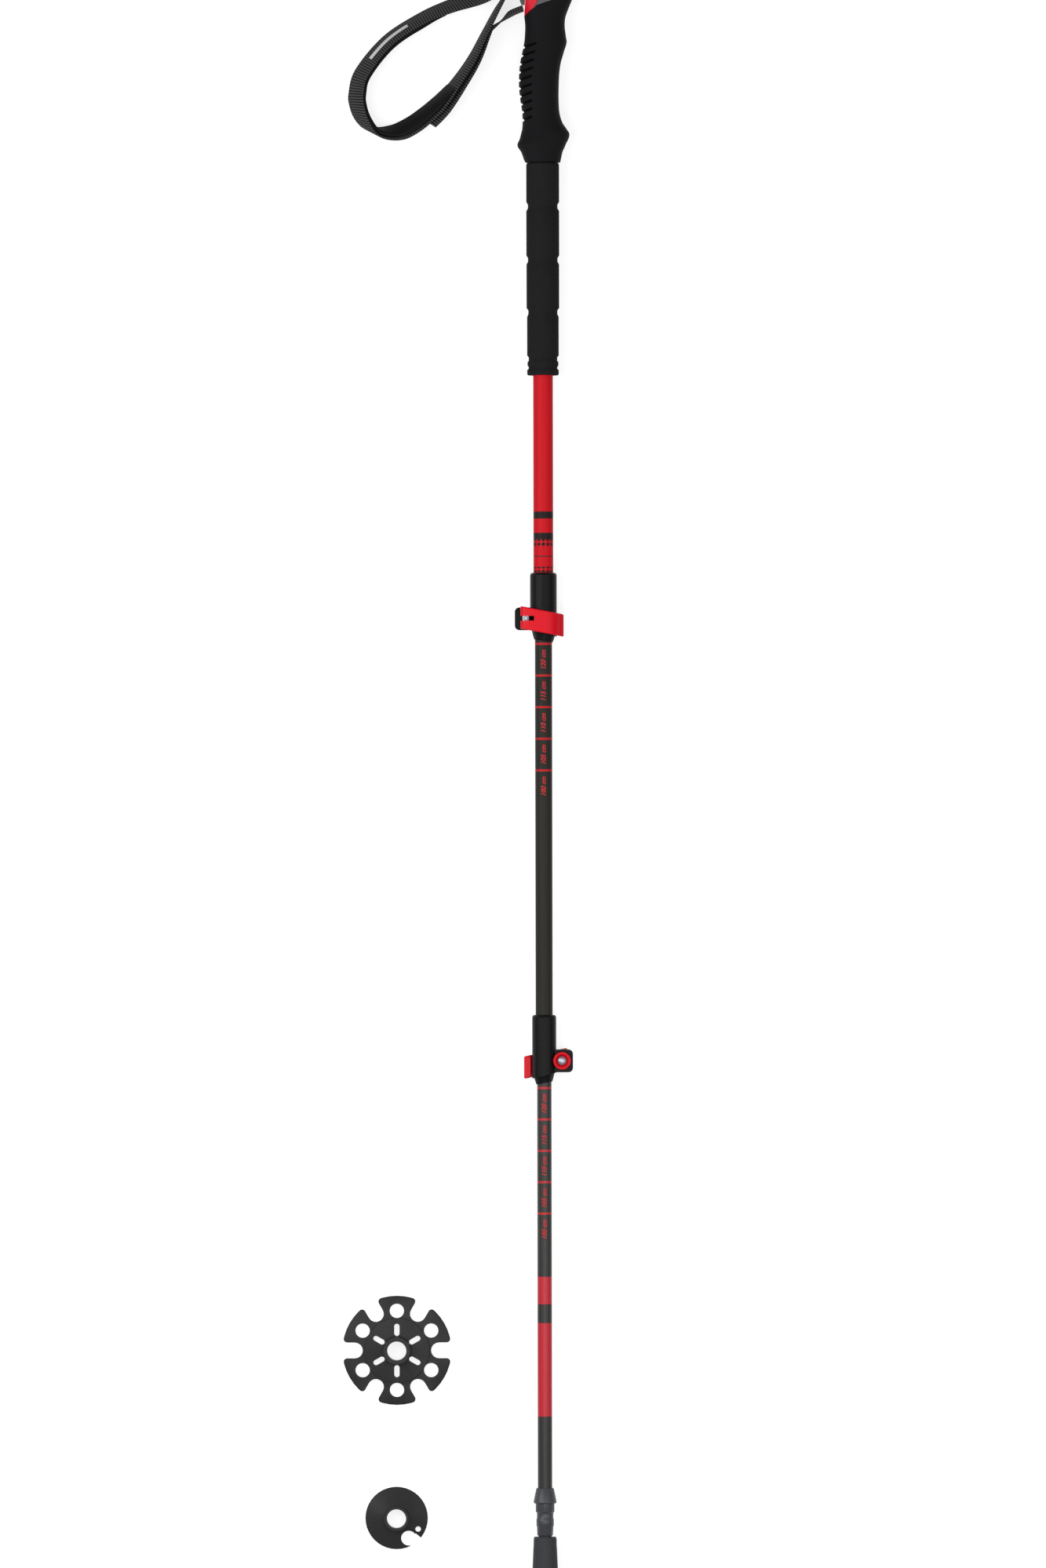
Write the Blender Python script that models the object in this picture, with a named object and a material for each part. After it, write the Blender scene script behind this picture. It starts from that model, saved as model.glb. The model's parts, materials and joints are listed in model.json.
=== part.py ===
"""Three-section telescopic pole with cam-lever locks, a wrist strap and two loose baskets.

The pieces of the pole are drawn upright, z up the pole, x to the right and y away from the
viewer. A parent empty then lays the pole down along +Y, as it lies in the photograph: +X is
to the right, +Z towards the viewer, and the origin is on the sole of the tip boot.
"""
import math

import bmesh
import bpy
from mathutils import Matrix, Vector

# Clearances
GAP = 0.0003
SLIDE_GAP = 0.00035

# How far a cutting tool runs past the solid that it cuts
CUT_PAST = 0.010

# Tubes, from the outside in
UPPER_TUBE_R = 0.0078
TUBE_WALL = 0.0007
MID_TUBE_R = UPPER_TUBE_R - TUBE_WALL - SLIDE_GAP
LOWER_TUBE_R = MID_TUBE_R - TUBE_WALL - SLIDE_GAP

# Heights up the pole
BOOT_TOP = 0.0508
FERRULE_TOP = 0.0896
LOWER_LOCK_Z = 0.4086
UPPER_LOCK_Z = 0.7580
PIN_Z = 1.2810
TUBE_BELOW_PIN = 0.0320
UPPER_TUBE_TOP = PIN_Z - TUBE_BELOW_PIN
MID_OVERLAP = 0.110
LOWER_OVERLAP = 0.110

# Cam-lever lock, shared by both locks
LOCK_HEIGHT = 0.0549
LOCK_WALL = 0.00275
LOCK_SEAM_Z = 0.0288
LOCK_SEAT_Z = 0.0320
LOCK_LIP_Z = 0.0070
LOCK_SLANT = 0.245
SLIT_HALF = 0.0008
SEAM_HALF = 0.0005
PIVOT_X = UPPER_TUBE_R + LOCK_WALL + 0.0035
EAR_REACH = PIVOT_X + 0.0086
EAR_HALF = 0.0046
EAR_LOW = 0.0096
EAR_HIGH = 0.0275
SADDLE_T = 0.0010
BOLT_Z = 0.0188
BOLT_R = 0.0015
BOLT_HEAD_R = 0.0035
BARREL_R = 0.0025
BARREL_HALF = 0.0077
EYE_R = 0.0042
PIVOT_Y = EAR_HALF + GAP + SADDLE_T + GAP + EYE_R
LEVER_HALF = 0.0089
LEVER_IN = UPPER_TUBE_R + LOCK_WALL + 0.0008
LEVER_T = 0.0036
LEVER_SHEAR = 0.19
LEVER_SLOT_HALF = BOLT_R + 0.0004
WHEEL_R = 0.0069
WHEEL_T = 0.0055

# Grip and head
HEAD_HALF = 0.0152
PIN_X = -0.0030
PIN_R = 0.0020
MOUTH_DROP = 0.0190
FOAM_LENGTH = 0.1680
FOAM_R = 0.0130

# Wrist strap
STRAP_WIDTH = 0.0205
STRAP_T = 0.0016
LINING_T = 0.0022
TAIL_T = 0.0014
LAYER_GAP = 0.0006
STRAP_STEPS = 4

# Tip
FERRULE_BORE_R = LOWER_TUBE_R + GAP
NECK_R = FERRULE_BORE_R + 0.0014
STEM_R = FERRULE_BORE_R + 0.0005
COLLAR_R = NECK_R + 0.00175
COLLAR_LOW = 0.0775
TUBE_SEAT_Z = 0.0712
SPIKE_R = 0.0050
SPIKE_LOW = 0.0160
INSERT_R = 0.0022
INSERT_LOW = 0.0105
BOOT_R = 0.0108

# Baskets, lying on the surface that the pole lies on
REST_DROP = HEAD_HALF + 0.0002
BASKET_BORE_R = NECK_R + 0.0002
SNOW_R = 0.0432
SNOW_AT = (-0.1170, 0.1978)
TREK_R = 0.0247
TREK_AT = (-0.1175, 0.0650)

# Side outline of grip and head: height from the strap pin, rear edge, front edge, half depth
GRIP_SECTIONS = (
    (-0.1437, -0.0138, 0.0140, 0.0132),
    (-0.1410, -0.0150, 0.0146, 0.0134),
    (-0.1355, -0.0170, 0.0158, 0.0138),
    (-0.1315, -0.0196, 0.0176, 0.0142),
    (-0.1290, -0.0198, 0.0186, 0.0144),
    (-0.1255, -0.0182, 0.0204, 0.0144),
    (-0.1210, -0.0170, 0.0212, 0.0142),
    (-0.1170, -0.0161, 0.0188, 0.0138),
    (-0.1120, -0.0158, 0.0156, 0.0134),
    (-0.1040, -0.0161, 0.0134, 0.0132),
    (-0.0940, -0.0176, 0.0128, 0.0134),
    (-0.0830, -0.0186, 0.0129, 0.0138),
    (-0.0730, -0.0184, 0.0134, 0.0140),
    (-0.0650, -0.0176, 0.0146, 0.0140),
    (-0.0560, -0.0158, 0.0172, 0.0138),
    (-0.0490, -0.0144, 0.0192, 0.0137),
    (-0.0440, -0.0139, 0.0186, 0.0137),
    (-0.0360, -0.0136, 0.0177, 0.0138),
    (-0.0290, -0.0143, 0.0183, 0.0140),
    (-0.0220, -0.0156, 0.0208, 0.0144),
    (-0.0150, -0.0181, 0.0236, 0.0148),
    (-0.0070, -0.0206, 0.0258, 0.0151),
    (0.0020, -0.0212, 0.0264, HEAD_HALF),
    (0.0100, -0.0196, 0.0246, 0.0146),
    (0.0160, -0.0160, 0.0204, 0.0128),
    (0.0200, -0.0110, 0.0146, 0.0098),
    (0.0220, -0.0050, 0.0078, 0.0052),
)

# Seam between grip and cap and outline of the wedge, in side view: across and height from the pin
PARTING = ((-0.0300, -0.0408), (-0.0065, -0.0224), (-0.0048, -0.0204), (0.0400, -0.0054))
WEDGE = (
    (-0.0143, -0.0285),
    (-0.0068, -0.0220),
    (-0.0029, -0.0150),
    (-0.0029, -0.0100),
    (-0.0131, -0.0100),
    (-0.0134, -0.0150),
)

# Lower and upper edge of the strap along its loop: across, up from the pin and towards the viewer
STRAP_EDGES = (
    ((-0.0400, -0.0054, -0.0103), (-0.0300, -0.0100, 0.0070)),
    ((-0.0570, -0.0065, -0.0120), (-0.0440, -0.0170, 0.0030)),
    ((-0.0758, -0.0107, -0.0125), (-0.0624, -0.0220, -0.0002)),
    ((-0.0983, -0.0191, -0.0130), (-0.0842, -0.0290, -0.0002)),
    ((-0.1264, -0.0385, -0.0130), (-0.1127, -0.0476, -0.0003)),
    ((-0.1477, -0.0629, -0.0130), (-0.1314, -0.0705, -0.0003)),
    ((-0.1545, -0.0847, -0.0130), (-0.1385, -0.0904, -0.0003)),
    ((-0.1532, -0.0980, -0.0130), (-0.1385, -0.1010, -0.0003)),
    ((-0.1480, -0.1088, -0.0130), (-0.1330, -0.1112, -0.0003)),
    ((-0.1380, -0.1150, -0.0130), (-0.1220, -0.1212, -0.0003)),
    ((-0.1264, -0.1141, -0.0130), (-0.1109, -0.1245, -0.0003)),
    ((-0.1164, -0.1091, -0.0130), (-0.1003, -0.1208, -0.0003)),
    ((-0.0896, -0.0910, -0.0130), (-0.0755, -0.1028, -0.0003)),
    ((-0.0671, -0.0685, -0.0128), (-0.0556, -0.0771, 0.0005)),
    ((-0.0483, -0.0386, -0.0120), (-0.0413, -0.0468, 0.0030)),
    ((-0.0345, -0.0156, -0.0108), (-0.0303, -0.0197, 0.0080)),
    ((-0.0275, -0.0032, -0.0104), (-0.0262, -0.0054, 0.0098)),
)

# Middle of the strap's tail from where it leaves the loop to the mouth of the head, laid out alike
TAIL_END = (
    (-0.0330, -0.0310, -0.0025),
    (-0.0265, -0.0254, -0.0010),
    (-0.0205, -0.0230, -0.0005),
    (-0.0156, -0.0218, 0.0),
)

# Foam sleeve: its ribbed low end as inset and height, its grooves as height, inset and inset above
GRIP_LOW = PIN_Z + GRIP_SECTIONS[0][0] - GAP
FOAM_LOW = GRIP_LOW - FOAM_LENGTH
FOAM_RIBS = (
    (0.0011, 0.0),
    (0.0005, 0.0009),
    (0.0005, 0.0042),
    (0.0016, 0.0050),
    (0.0016, 0.0068),
    (0.0008, 0.0076),
    (0.0008, 0.0106),
    (0.0017, 0.0114),
    (0.0017, 0.0142),
    (0.0005, 0.0156),
)
FOAM_GROOVES = ((0.0497, 0.0015, 0.0001), (0.0912, 0.0013, 0.0), (0.1334, 0.0013, 0.0))


def clear_scene():
    """Start from an empty file."""
    for thing in list(bpy.data.objects):
        bpy.data.objects.remove(thing, do_unlink=True)
    for mesh in list(bpy.data.meshes):
        bpy.data.meshes.remove(mesh)


def material(name, colour, roughness, metallic=0.0):
    """Principled material of one colour."""
    made = bpy.data.materials.new(name)
    made.use_nodes = True
    shader = made.node_tree.nodes["Principled BSDF"]
    shader.inputs["Base Color"].default_value = (*colour, 1.0)
    shader.inputs["Roughness"].default_value = roughness
    shader.inputs["Metallic"].default_value = metallic
    return made


def tidy(solid):
    """Merge doubled points and turn every face outward."""
    bmesh.ops.remove_doubles(solid, verts=solid.verts, dist=0.000002)
    bmesh.ops.dissolve_degenerate(solid, edges=solid.edges, dist=0.000002)
    bmesh.ops.recalc_face_normals(solid, faces=solid.faces)
    return solid


def lathe(outline, segments=32):
    """Solid of revolution about z from a closed (radius, z) outline."""
    solid = bmesh.new()
    rings = []
    for radius, height in outline:
        if radius <= 0.0:
            rings.append([solid.verts.new((0.0, 0.0, height))])
            continue
        ring = []
        for step in range(segments):
            turn = 2.0 * math.pi * step / segments
            ring.append(solid.verts.new((radius * math.cos(turn), radius * math.sin(turn), height)))
        rings.append(ring)
    for index, low in enumerate(rings):
        high = rings[(index + 1) % len(rings)]
        if len(low) == 1 and len(high) == 1:
            continue
        for step in range(segments):
            after = (step + 1) % segments
            if len(low) == 1:
                solid.faces.new((low[0], high[step], high[after]))
            elif len(high) == 1:
                solid.faces.new((low[step], low[after], high[0]))
            else:
                solid.faces.new((low[step], low[after], high[after], high[step]))
    return tidy(solid)


def rings_to_solid(rings, closed=False):
    """Skin a row of point rings, capped at both ends or joined into a loop."""
    solid = bmesh.new()
    rows = []
    for ring in rings:
        rows.append([solid.verts.new(point) for point in ring])
    count = len(rows[0])
    last = len(rows) if closed else len(rows) - 1
    for index in range(last):
        low = rows[index]
        high = rows[(index + 1) % len(rows)]
        for step in range(count):
            after = (step + 1) % count
            solid.faces.new((low[step], low[after], high[after], high[step]))
    if not closed:
        solid.faces.new(rows[0])
        solid.faces.new(rows[-1])
    return tidy(solid)


def prism(outline, low, high, across="z"):
    """Extrude an outline: (x, y) along z, or (x, z) along y."""
    ends = []
    for level in (low, high):
        if across == "z":
            ends.append([(u, v, level) for u, v in outline])
        else:
            ends.append([(u, level, v) for u, v in outline])
    return rings_to_solid(ends)


def box(x_span, y_span, z_span):
    """Plain block between two corners."""
    outline = (
        (x_span[0], y_span[0]),
        (x_span[1], y_span[0]),
        (x_span[1], y_span[1]),
        (x_span[0], y_span[1]),
    )
    return prism(outline, z_span[0], z_span[1])


def turned(solid, placed, axis="z"):
    """Move a solid drawn about z onto another axis direction and place."""
    turn = Matrix.Identity(4)
    if axis == "y":
        turn = Matrix.Rotation(math.radians(-90.0), 4, 'X')
    bmesh.ops.transform(solid, matrix=Matrix.Translation(placed) @ turn, verts=solid.verts)
    return solid


def rod(radius, start, length, axis="z", segments=24):
    """Cylinder from a start point along +z or +y."""
    outline = ((0.0, 0.0), (radius, 0.0), (radius, length), (0.0, length))
    return turned(lathe(outline, segments), start, axis)


def arc(centre, radius, first, last, steps):
    """Points on a circle, angles in degrees."""
    points = []
    for step in range(steps + 1):
        turn = math.radians(first + (last - first) * step / steps)
        points.append((centre[0] + radius * math.cos(turn), centre[1] + radius * math.sin(turn)))
    return points


def grown(outline, distance):
    """Offset a counter-clockwise outline outwards with mitred corners."""
    made = []
    count = len(outline)
    for index in range(count):
        here = Vector(outline[index])
        before = (here - Vector(outline[index - 1])).normalized()
        after = (Vector(outline[(index + 1) % count]) - here).normalized()
        first = Vector((before.y, -before.x))
        second = Vector((after.y, -after.x))
        shift = (first + second) * (distance / (1.0 + first.dot(second)))
        made.append(tuple(here + shift))
    return made


def scratch_object(solid):
    """Put a solid into the scene for a Boolean step."""
    mesh = bpy.data.meshes.new("step")
    solid.to_mesh(mesh)
    solid.free()
    thing = bpy.data.objects.new("step", mesh)
    bpy.context.scene.collection.objects.link(thing)
    return thing


def combine(base, tools, operation):
    """Boolean of one closed solid with others, one after another."""
    target = scratch_object(base)
    helpers = []
    for tool in tools:
        helper = scratch_object(tool)
        step = target.modifiers.new("step", 'BOOLEAN')
        step.operation = operation
        step.solver = 'MANIFOLD'
        step.object = helper
        helpers.append(helper)
    graph = bpy.context.evaluated_depsgraph_get()
    shaped = target.evaluated_get(graph)
    made = bmesh.new()
    made.from_mesh(shaped.to_mesh())
    shaped.to_mesh_clear()
    for thing in [target] + helpers:
        mesh = thing.data
        bpy.data.objects.remove(thing, do_unlink=True)
        bpy.data.meshes.remove(mesh)
    bmesh.ops.remove_doubles(made, verts=made.verts, dist=0.000002)
    return made


def cut(base, *tools):
    """Take tools away from a solid."""
    return combine(base, tools, 'DIFFERENCE')


def join(base, *tools):
    """Join tools to a solid."""
    return combine(base, tools, 'UNION')


def frame(name, placed, turn=0.0, parent=None):
    """Empty that carries pieces, turned about z by an angle in degrees."""
    empty = bpy.data.objects.new(name, None)
    empty.location = placed
    empty.rotation_euler = (0.0, 0.0, math.radians(turn))
    empty.parent = parent
    bpy.context.scene.collection.objects.link(empty)
    return empty


def node(name, solid, look, parent=None, origin=(0.0, 0.0, 0.0)):
    """Named piece with its own material, its origin at the given point of its parent."""
    bmesh.ops.translate(solid, verts=solid.verts, vec=-Vector(origin))
    mesh = bpy.data.meshes.new(name)
    solid.to_mesh(mesh)
    solid.free()
    mesh.shade_smooth()
    mesh.set_sharp_from_angle(angle=math.radians(35.0))
    mesh.materials.append(look)
    thing = bpy.data.objects.new(name, mesh)
    thing.parent = parent
    thing.location = origin
    bpy.context.scene.collection.objects.link(thing)
    return thing


def tube(radius, low, high):
    """Open tube of the common wall."""
    bore = radius - TUBE_WALL
    return lathe(((bore, low), (radius, low), (radius, high), (bore, high)), 32)


def bolt_hole(reach, segments=24):
    """Cutter for the bolt's clearance hole through a piece of the lock."""
    return rod(BOLT_R + GAP, (-PIVOT_X, -reach, BOLT_Z), 2.0 * reach, "y", segments)


def lock_collar(host_r, inner_r):
    """Split collar: sleeve on the outer tube, squeezed ring on the inner one, and two ears."""
    outer_r = host_r + LOCK_WALL
    sleeve = lathe((
        (0.0, 0.0),
        (outer_r, 0.0),
        (outer_r, LOCK_HEIGHT - 0.0019),
        (outer_r - 0.0006, LOCK_HEIGHT - 0.0005),
        (outer_r - 0.0019, LOCK_HEIGHT),
        (0.0, LOCK_HEIGHT),
    ))
    reach = outer_r + CUT_PAST
    slanted = prism((
        (-reach, LOCK_LIP_Z + LOCK_SLANT * reach),
        (-reach, -2.0 * CUT_PAST),
        (reach, -2.0 * CUT_PAST),
        (reach, LOCK_LIP_Z - LOCK_SLANT * reach),
    ), -reach, reach, "y")
    nose = lathe((
        (0.0, 0.0),
        (inner_r + SLIDE_GAP + 0.0012, 0.0),
        (inner_r + SLIDE_GAP + 0.0018, 0.0018),
        (outer_r - 0.0010, 0.0135),
        (0.0, 0.0135),
    ))
    corner = 0.0035
    ear_outline = [(-outer_r * 0.6, EAR_LOW), (-outer_r * 0.6, EAR_HIGH)]
    ear_outline += arc((-EAR_REACH + corner, EAR_HIGH - corner), corner, 90, 180, 5)
    ear_outline += arc((-EAR_REACH + corner, EAR_LOW + corner), corner, 180, 270, 5)
    ears = prism(ear_outline, -EAR_HALF, EAR_HALF, "y")
    body = join(cut(sleeve, slanted), nose, ears)
    span = EAR_REACH + CUT_PAST
    return cut(
        body,
        rod(inner_r + SLIDE_GAP, (0.0, 0.0, -CUT_PAST), LOCK_HEIGHT + 2.0 * CUT_PAST, segments=32),
        rod(host_r + GAP, (0.0, 0.0, LOCK_SEAT_Z), LOCK_HEIGHT, segments=32),
        box((-span, -inner_r * 0.5), (-SLIT_HALF, SLIT_HALF), (-CUT_PAST, LOCK_SEAM_Z)),
        box((-span, outer_r * 0.25), (-span, span), (LOCK_SEAM_Z - SEAM_HALF, LOCK_SEAM_Z + SEAM_HALF)),
        bolt_hole(span),
        rod(WHEEL_R + 0.0005, (-PIVOT_X, EAR_HALF - 0.0002, BOLT_Z), span, "y", 36),
    )


def lock_lever():
    """Cam lever: an eye on the barrel, a bowed arm over the collar and a thumb lip."""
    pivot = (-PIVOT_X, -PIVOT_Y)
    outer = LEVER_IN + LEVER_T
    outline = arc((0.0, 0.0), outer, -90, -28, 8)
    outline += [(outer + 0.0004, -0.0058), (outer + 0.0010, -0.0040), (outer + 0.0004, -0.0030)]
    outline += arc((0.0, 0.0), LEVER_IN, -16, -90, 9)
    outline += [(pivot[0] + EYE_R + 0.0006, -LEVER_IN + 0.0003)]
    outline += arc(pivot, EYE_R, -8, 262, 24)
    arm = prism(outline, BOLT_Z - LEVER_HALF, BOLT_Z + LEVER_HALF)
    for point in arm.verts:
        point.co.z -= LEVER_SHEAR * (point.co.x - pivot[0])
    slot_x = (pivot[0] - CUT_PAST, pivot[0] + EYE_R + 0.0024)
    slot_y = (pivot[1] - 2.0 * CUT_PAST, CUT_PAST)
    slot_z = (BOLT_Z - LEVER_SLOT_HALF, BOLT_Z + LEVER_SLOT_HALF)
    return cut(arm, rod(BARREL_R + GAP, (*pivot, 0.0), LOCK_HEIGHT), box(slot_x, slot_y, slot_z))


def lock(prefix, height, turn, host_r, inner_r, pole, looks):
    """The six pieces of one cam-lever lock."""
    base = frame(prefix + "_frame", (0.0, 0.0, height), turn, pole)
    bolt_line = (-PIVOT_X, 0.0, BOLT_Z)
    wheel_low = EAR_HALF + GAP
    head_low = wheel_low + 0.0024
    node(prefix + "_collar", lock_collar(host_r, inner_r), looks["black"], base)
    node(prefix + "_lever", lock_lever(), looks["red_metal"], base, (-PIVOT_X, -PIVOT_Y, BOLT_Z))
    barrel = cut(
        rod(BARREL_R, (-PIVOT_X, -PIVOT_Y, BOLT_Z - BARREL_HALF), 2.0 * BARREL_HALF),
        bolt_hole(PIVOT_Y + CUT_PAST, 16),
    )
    node(prefix + "_barrel", barrel, looks["steel"], base)
    saddle = cut(
        box(
            (-PIVOT_X - EYE_R, -PIVOT_X + EYE_R - 0.0006),
            (-EAR_HALF - GAP - SADDLE_T, -EAR_HALF - GAP),
            (BOLT_Z - 0.0075, BOLT_Z + 0.0075),
        ),
        bolt_hole(PIVOT_Y + CUT_PAST, 16),
    )
    node(prefix + "_saddle", saddle, looks["black"], base)
    bolt = lathe((
        (0.0, -PIVOT_Y - BARREL_R + 0.0004),
        (BOLT_R, -PIVOT_Y - BARREL_R + 0.0004),
        (BOLT_R, head_low),
        (BOLT_HEAD_R, head_low),
        (BOLT_HEAD_R, head_low + 0.0010),
        (BOLT_HEAD_R * 0.8, head_low + 0.0018),
        (BOLT_HEAD_R * 0.4, head_low + 0.0023),
        (0.0, head_low + 0.0024),
    ), 24)
    node(prefix + "_bolt", turned(bolt, bolt_line, "y"), looks["steel"], base, bolt_line)
    rim = wheel_low + WHEEL_T
    wheel = lathe((
        (BOLT_R + GAP, wheel_low),
        (WHEEL_R - 0.0006, wheel_low),
        (WHEEL_R, wheel_low + 0.0006),
        (WHEEL_R, rim - 0.0006),
        (WHEEL_R - 0.0006, rim),
        (WHEEL_R - 0.0013, rim),
        (BOLT_HEAD_R + 0.0004, head_low + 0.0006),
        (BOLT_HEAD_R + 0.0004, head_low - GAP),
        (BOLT_R + GAP, head_low - GAP),
    ), 36)
    node(prefix + "_wheel", turned(wheel, bolt_line, "y"), looks["red_metal"], base, bolt_line)


def guide_bush(tube_r, host_r, top):
    """Guide plugged into the upper end of an inner tube and running in the outer tube."""
    stem = tube_r - TUBE_WALL - GAP
    flange = host_r - TUBE_WALL - GAP
    return lathe((
        (stem - 0.0016, top - 0.018),
        (stem, top - 0.018),
        (stem, top + GAP),
        (flange, top + GAP),
        (flange, top + 0.010),
        (flange - 0.0012, top + 0.0118),
        (stem - 0.0016, top + 0.0118),
    ), 24)


def grip_skin():
    """Outer form of grip and head together, rounder to the front than a plain oval."""
    rings = []
    for height, rear, front, half in GRIP_SECTIONS:
        centre = (rear + front) / 2.0
        reach = (front - rear) / 2.0
        ring = []
        for step in range(40):
            turn = 2.0 * math.pi * step / 40
            along = math.copysign(abs(math.cos(turn)) ** 0.86, math.cos(turn))
            side = math.copysign(abs(math.sin(turn)) ** 0.86, math.sin(turn))
            ring.append((centre + reach * along, half * side, PIN_Z + height))
        rings.append(ring)
    return rings_to_solid(rings)


def at_pin(outline, raised=0.0):
    """Side-view outline at its height on the pole, raised a little if asked."""
    return [(x, PIN_Z + z + raised) for x, z in outline]


def build_grip(pole, looks):
    """Grip, cap, strap wedge and strap pin, all cut from one outer form."""
    deep = 2.0 * HEAD_HALF
    rear, front = PARTING[0][0], PARTING[-1][0]
    over = PIN_Z + GRIP_SECTIONS[-1][0] + CUT_PAST
    under = GRIP_LOW - CUT_PAST
    above = prism(at_pin(PARTING, -GAP) + [(front, over), (rear, over)], -deep, deep, "y")
    below = prism(at_pin(PARTING) + [(front, under), (rear, under)], -deep, deep, "y")
    bore = rod(UPPER_TUBE_R + GAP, (0.0, 0.0, under), UPPER_TUBE_TOP + GAP - under, segments=32)
    node("grip_body", cut(grip_skin(), above, bore), looks["rubber"], pole)
    slot_half = STRAP_WIDTH / 2.0 + 0.0008
    slot_low = PIN_Z - 0.0056
    slot_high = PIN_Z + 0.0098
    pin_half = slot_half + 0.0022
    wedge_outline = at_pin(WEDGE)
    pocket_outline = grown(wedge_outline, GAP)
    for corner in (3, 4):
        pocket_outline[corner] = (pocket_outline[corner][0], slot_low + 0.001)
    pocket = prism(pocket_outline, -deep, deep, "y")
    mouth = box((rear - CUT_PAST, WEDGE[5][0]), (-deep, deep), (under, PIN_Z - MOUTH_DROP))
    slot = box((rear - CUT_PAST, PIN_X + 0.0050), (-slot_half, slot_half), (slot_low, slot_high))
    pin_hole = rod(PIN_R + GAP, (PIN_X, -pin_half - GAP, PIN_Z), 2.0 * (pin_half + GAP), "y")
    cap = cut(grip_skin(), mouth, pocket, slot, pin_hole, below)
    node("grip_cap", cap, looks["grey"], pole)
    wedge = combine(grip_skin(), [prism(wedge_outline, -deep, deep, "y")], 'INTERSECT')
    node("strap_wedge", wedge, looks["red_plastic"], pole)
    node("strap_pin", rod(PIN_R, (PIN_X, -pin_half, PIN_Z), 2.0 * pin_half, "y"), looks["steel"], pole)


def spline(points, steps):
    """Smooth curve through points, a few steps between each pair."""
    made = []
    for index in range(len(points) - 1):
        before = points[max(index - 1, 0)]
        first = points[index]
        second = points[index + 1]
        after = points[min(index + 2, len(points) - 1)]
        for step in range(steps):
            t = step / steps
            made.append(0.5 * (
                2.0 * first
                + (second - before) * t
                + (2.0 * before - 5.0 * first + 4.0 * second - after) * t * t
                + (3.0 * first - before - 3.0 * second + after) * t * t * t
            ))
    made.append(points[-1])
    return made


def to_pole(point):
    """Across, up from the pin and towards the viewer, to the upright frame of the pole."""
    return Vector((point[0], -point[2], PIN_Z + point[1]))


def strap_stations():
    """Centre and width direction of the webbing along its hand loop, from the head round to the head."""
    low = spline([to_pole(pair[0]) for pair in STRAP_EDGES], STRAP_STEPS)
    high = spline([to_pole(pair[1]) for pair in STRAP_EDGES], STRAP_STEPS)
    stations = []
    for first, second in zip(low, high):
        across = (second - first).normalized()
        stations.append((first + across * (STRAP_WIDTH / 2.0), across))
    return stations


def pin_stations():
    """The same where the webbing turns round the pin, from the upper run to the lower run."""
    radius = PIN_R + 0.0004 + STRAP_T / 2.0
    across = Vector((0.0, -1.0, 0.0))
    stations = [(Vector((PIN_X - 0.0130, 0.0, PIN_Z + radius)), across)]
    for turn in range(90, -91, -30):
        x = PIN_X + radius * math.cos(math.radians(turn))
        z = PIN_Z + radius * math.sin(math.radians(turn))
        stations.append((Vector((x, 0.0, z)), across))
    stations.append((Vector((PIN_X - 0.0130, 0.0, PIN_Z - radius)), across))
    return stations


def squared(stations, closed):
    """Add to each station the direction square to the webbing, towards the inside of the loop."""
    made = []
    count = len(stations)
    for index, (centre, across) in enumerate(stations):
        ahead = (index + 1) % count if closed else min(index + 1, count - 1)
        behind = (index - 1) % count if closed else max(index - 1, 0)
        along = stations[ahead][0] - stations[behind][0]
        made.append((centre, across, across.cross(along).normalized()))
    return made


def ribbon(stations, shift, thick, width, closed=False):
    """Flat band along squared stations, moved square to itself by a shift."""
    rings = []
    for centre, across, square in stations:
        middle = centre + square * shift
        side = across * (width / 2.0)
        up = square * (thick / 2.0)
        rings.append((middle - side - up, middle + side - up, middle + side + up, middle - side + up))
    return rings_to_solid(rings, closed)


def build_strap(pole, looks):
    """Webbing loop through the head, its padded lining and the doubled-back tail."""
    loop = squared(strap_stations() + pin_stations(), True)
    pin_at = (PIN_X, 0.0, PIN_Z)
    node("wrist_strap", ribbon(loop, 0.0, STRAP_T, STRAP_WIDTH, True), looks["webbing"], pole, pin_at)
    inside = STRAP_T / 2.0 + LAYER_GAP + LINING_T / 2.0
    lining = ribbon(loop[3 * STRAP_STEPS:12 * STRAP_STEPS + 2], inside, LINING_T, STRAP_WIDTH - 0.001)
    node("strap_lining", lining, looks["lining"], pole, pin_at)
    outside = STRAP_T / 2.0 + LAYER_GAP + TAIL_T / 2.0
    doubled = loop[11 * STRAP_STEPS + 2:14 * STRAP_STEPS + 2]
    beside = [(centre - square * outside, across) for centre, across, square in doubled]
    upright = Vector((0.0, -1.0, 0.0))
    across = (beside[-1][1] + upright).normalized()
    for point in TAIL_END:
        beside.append((to_pole(point), across))
        across = upright
    tail = ribbon(squared(beside, False), 0.0, TAIL_T, STRAP_WIDTH - 0.002)
    node("strap_tail", tail, looks["webbing"], pole, pin_at)


def build_foam(pole, looks):
    """Long foam sleeve below the grip, with three grooves and a ribbed end."""
    bore = UPPER_TUBE_R + GAP
    top = GRIP_LOW - GAP
    outline = [(bore, FOAM_LOW)]
    outline += [(FOAM_R - inset, FOAM_LOW + rise) for inset, rise in FOAM_RIBS]
    for rise, floor_inset, above_inset in FOAM_GROOVES:
        groove = FOAM_LOW + rise
        below_r = outline[-1][0]
        floor_r = FOAM_R - floor_inset
        outline += [(below_r, groove - 0.0036), (floor_r, groove - 0.0014)]
        outline += [(floor_r, groove + 0.0014), (FOAM_R - above_inset, groove + 0.0036)]
    outline += [(FOAM_R, top - 0.0012), (FOAM_R - 0.0008, top), (bore, top)]
    node("foam_grip", lathe(outline, 32), looks["foam"], pole)


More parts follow.
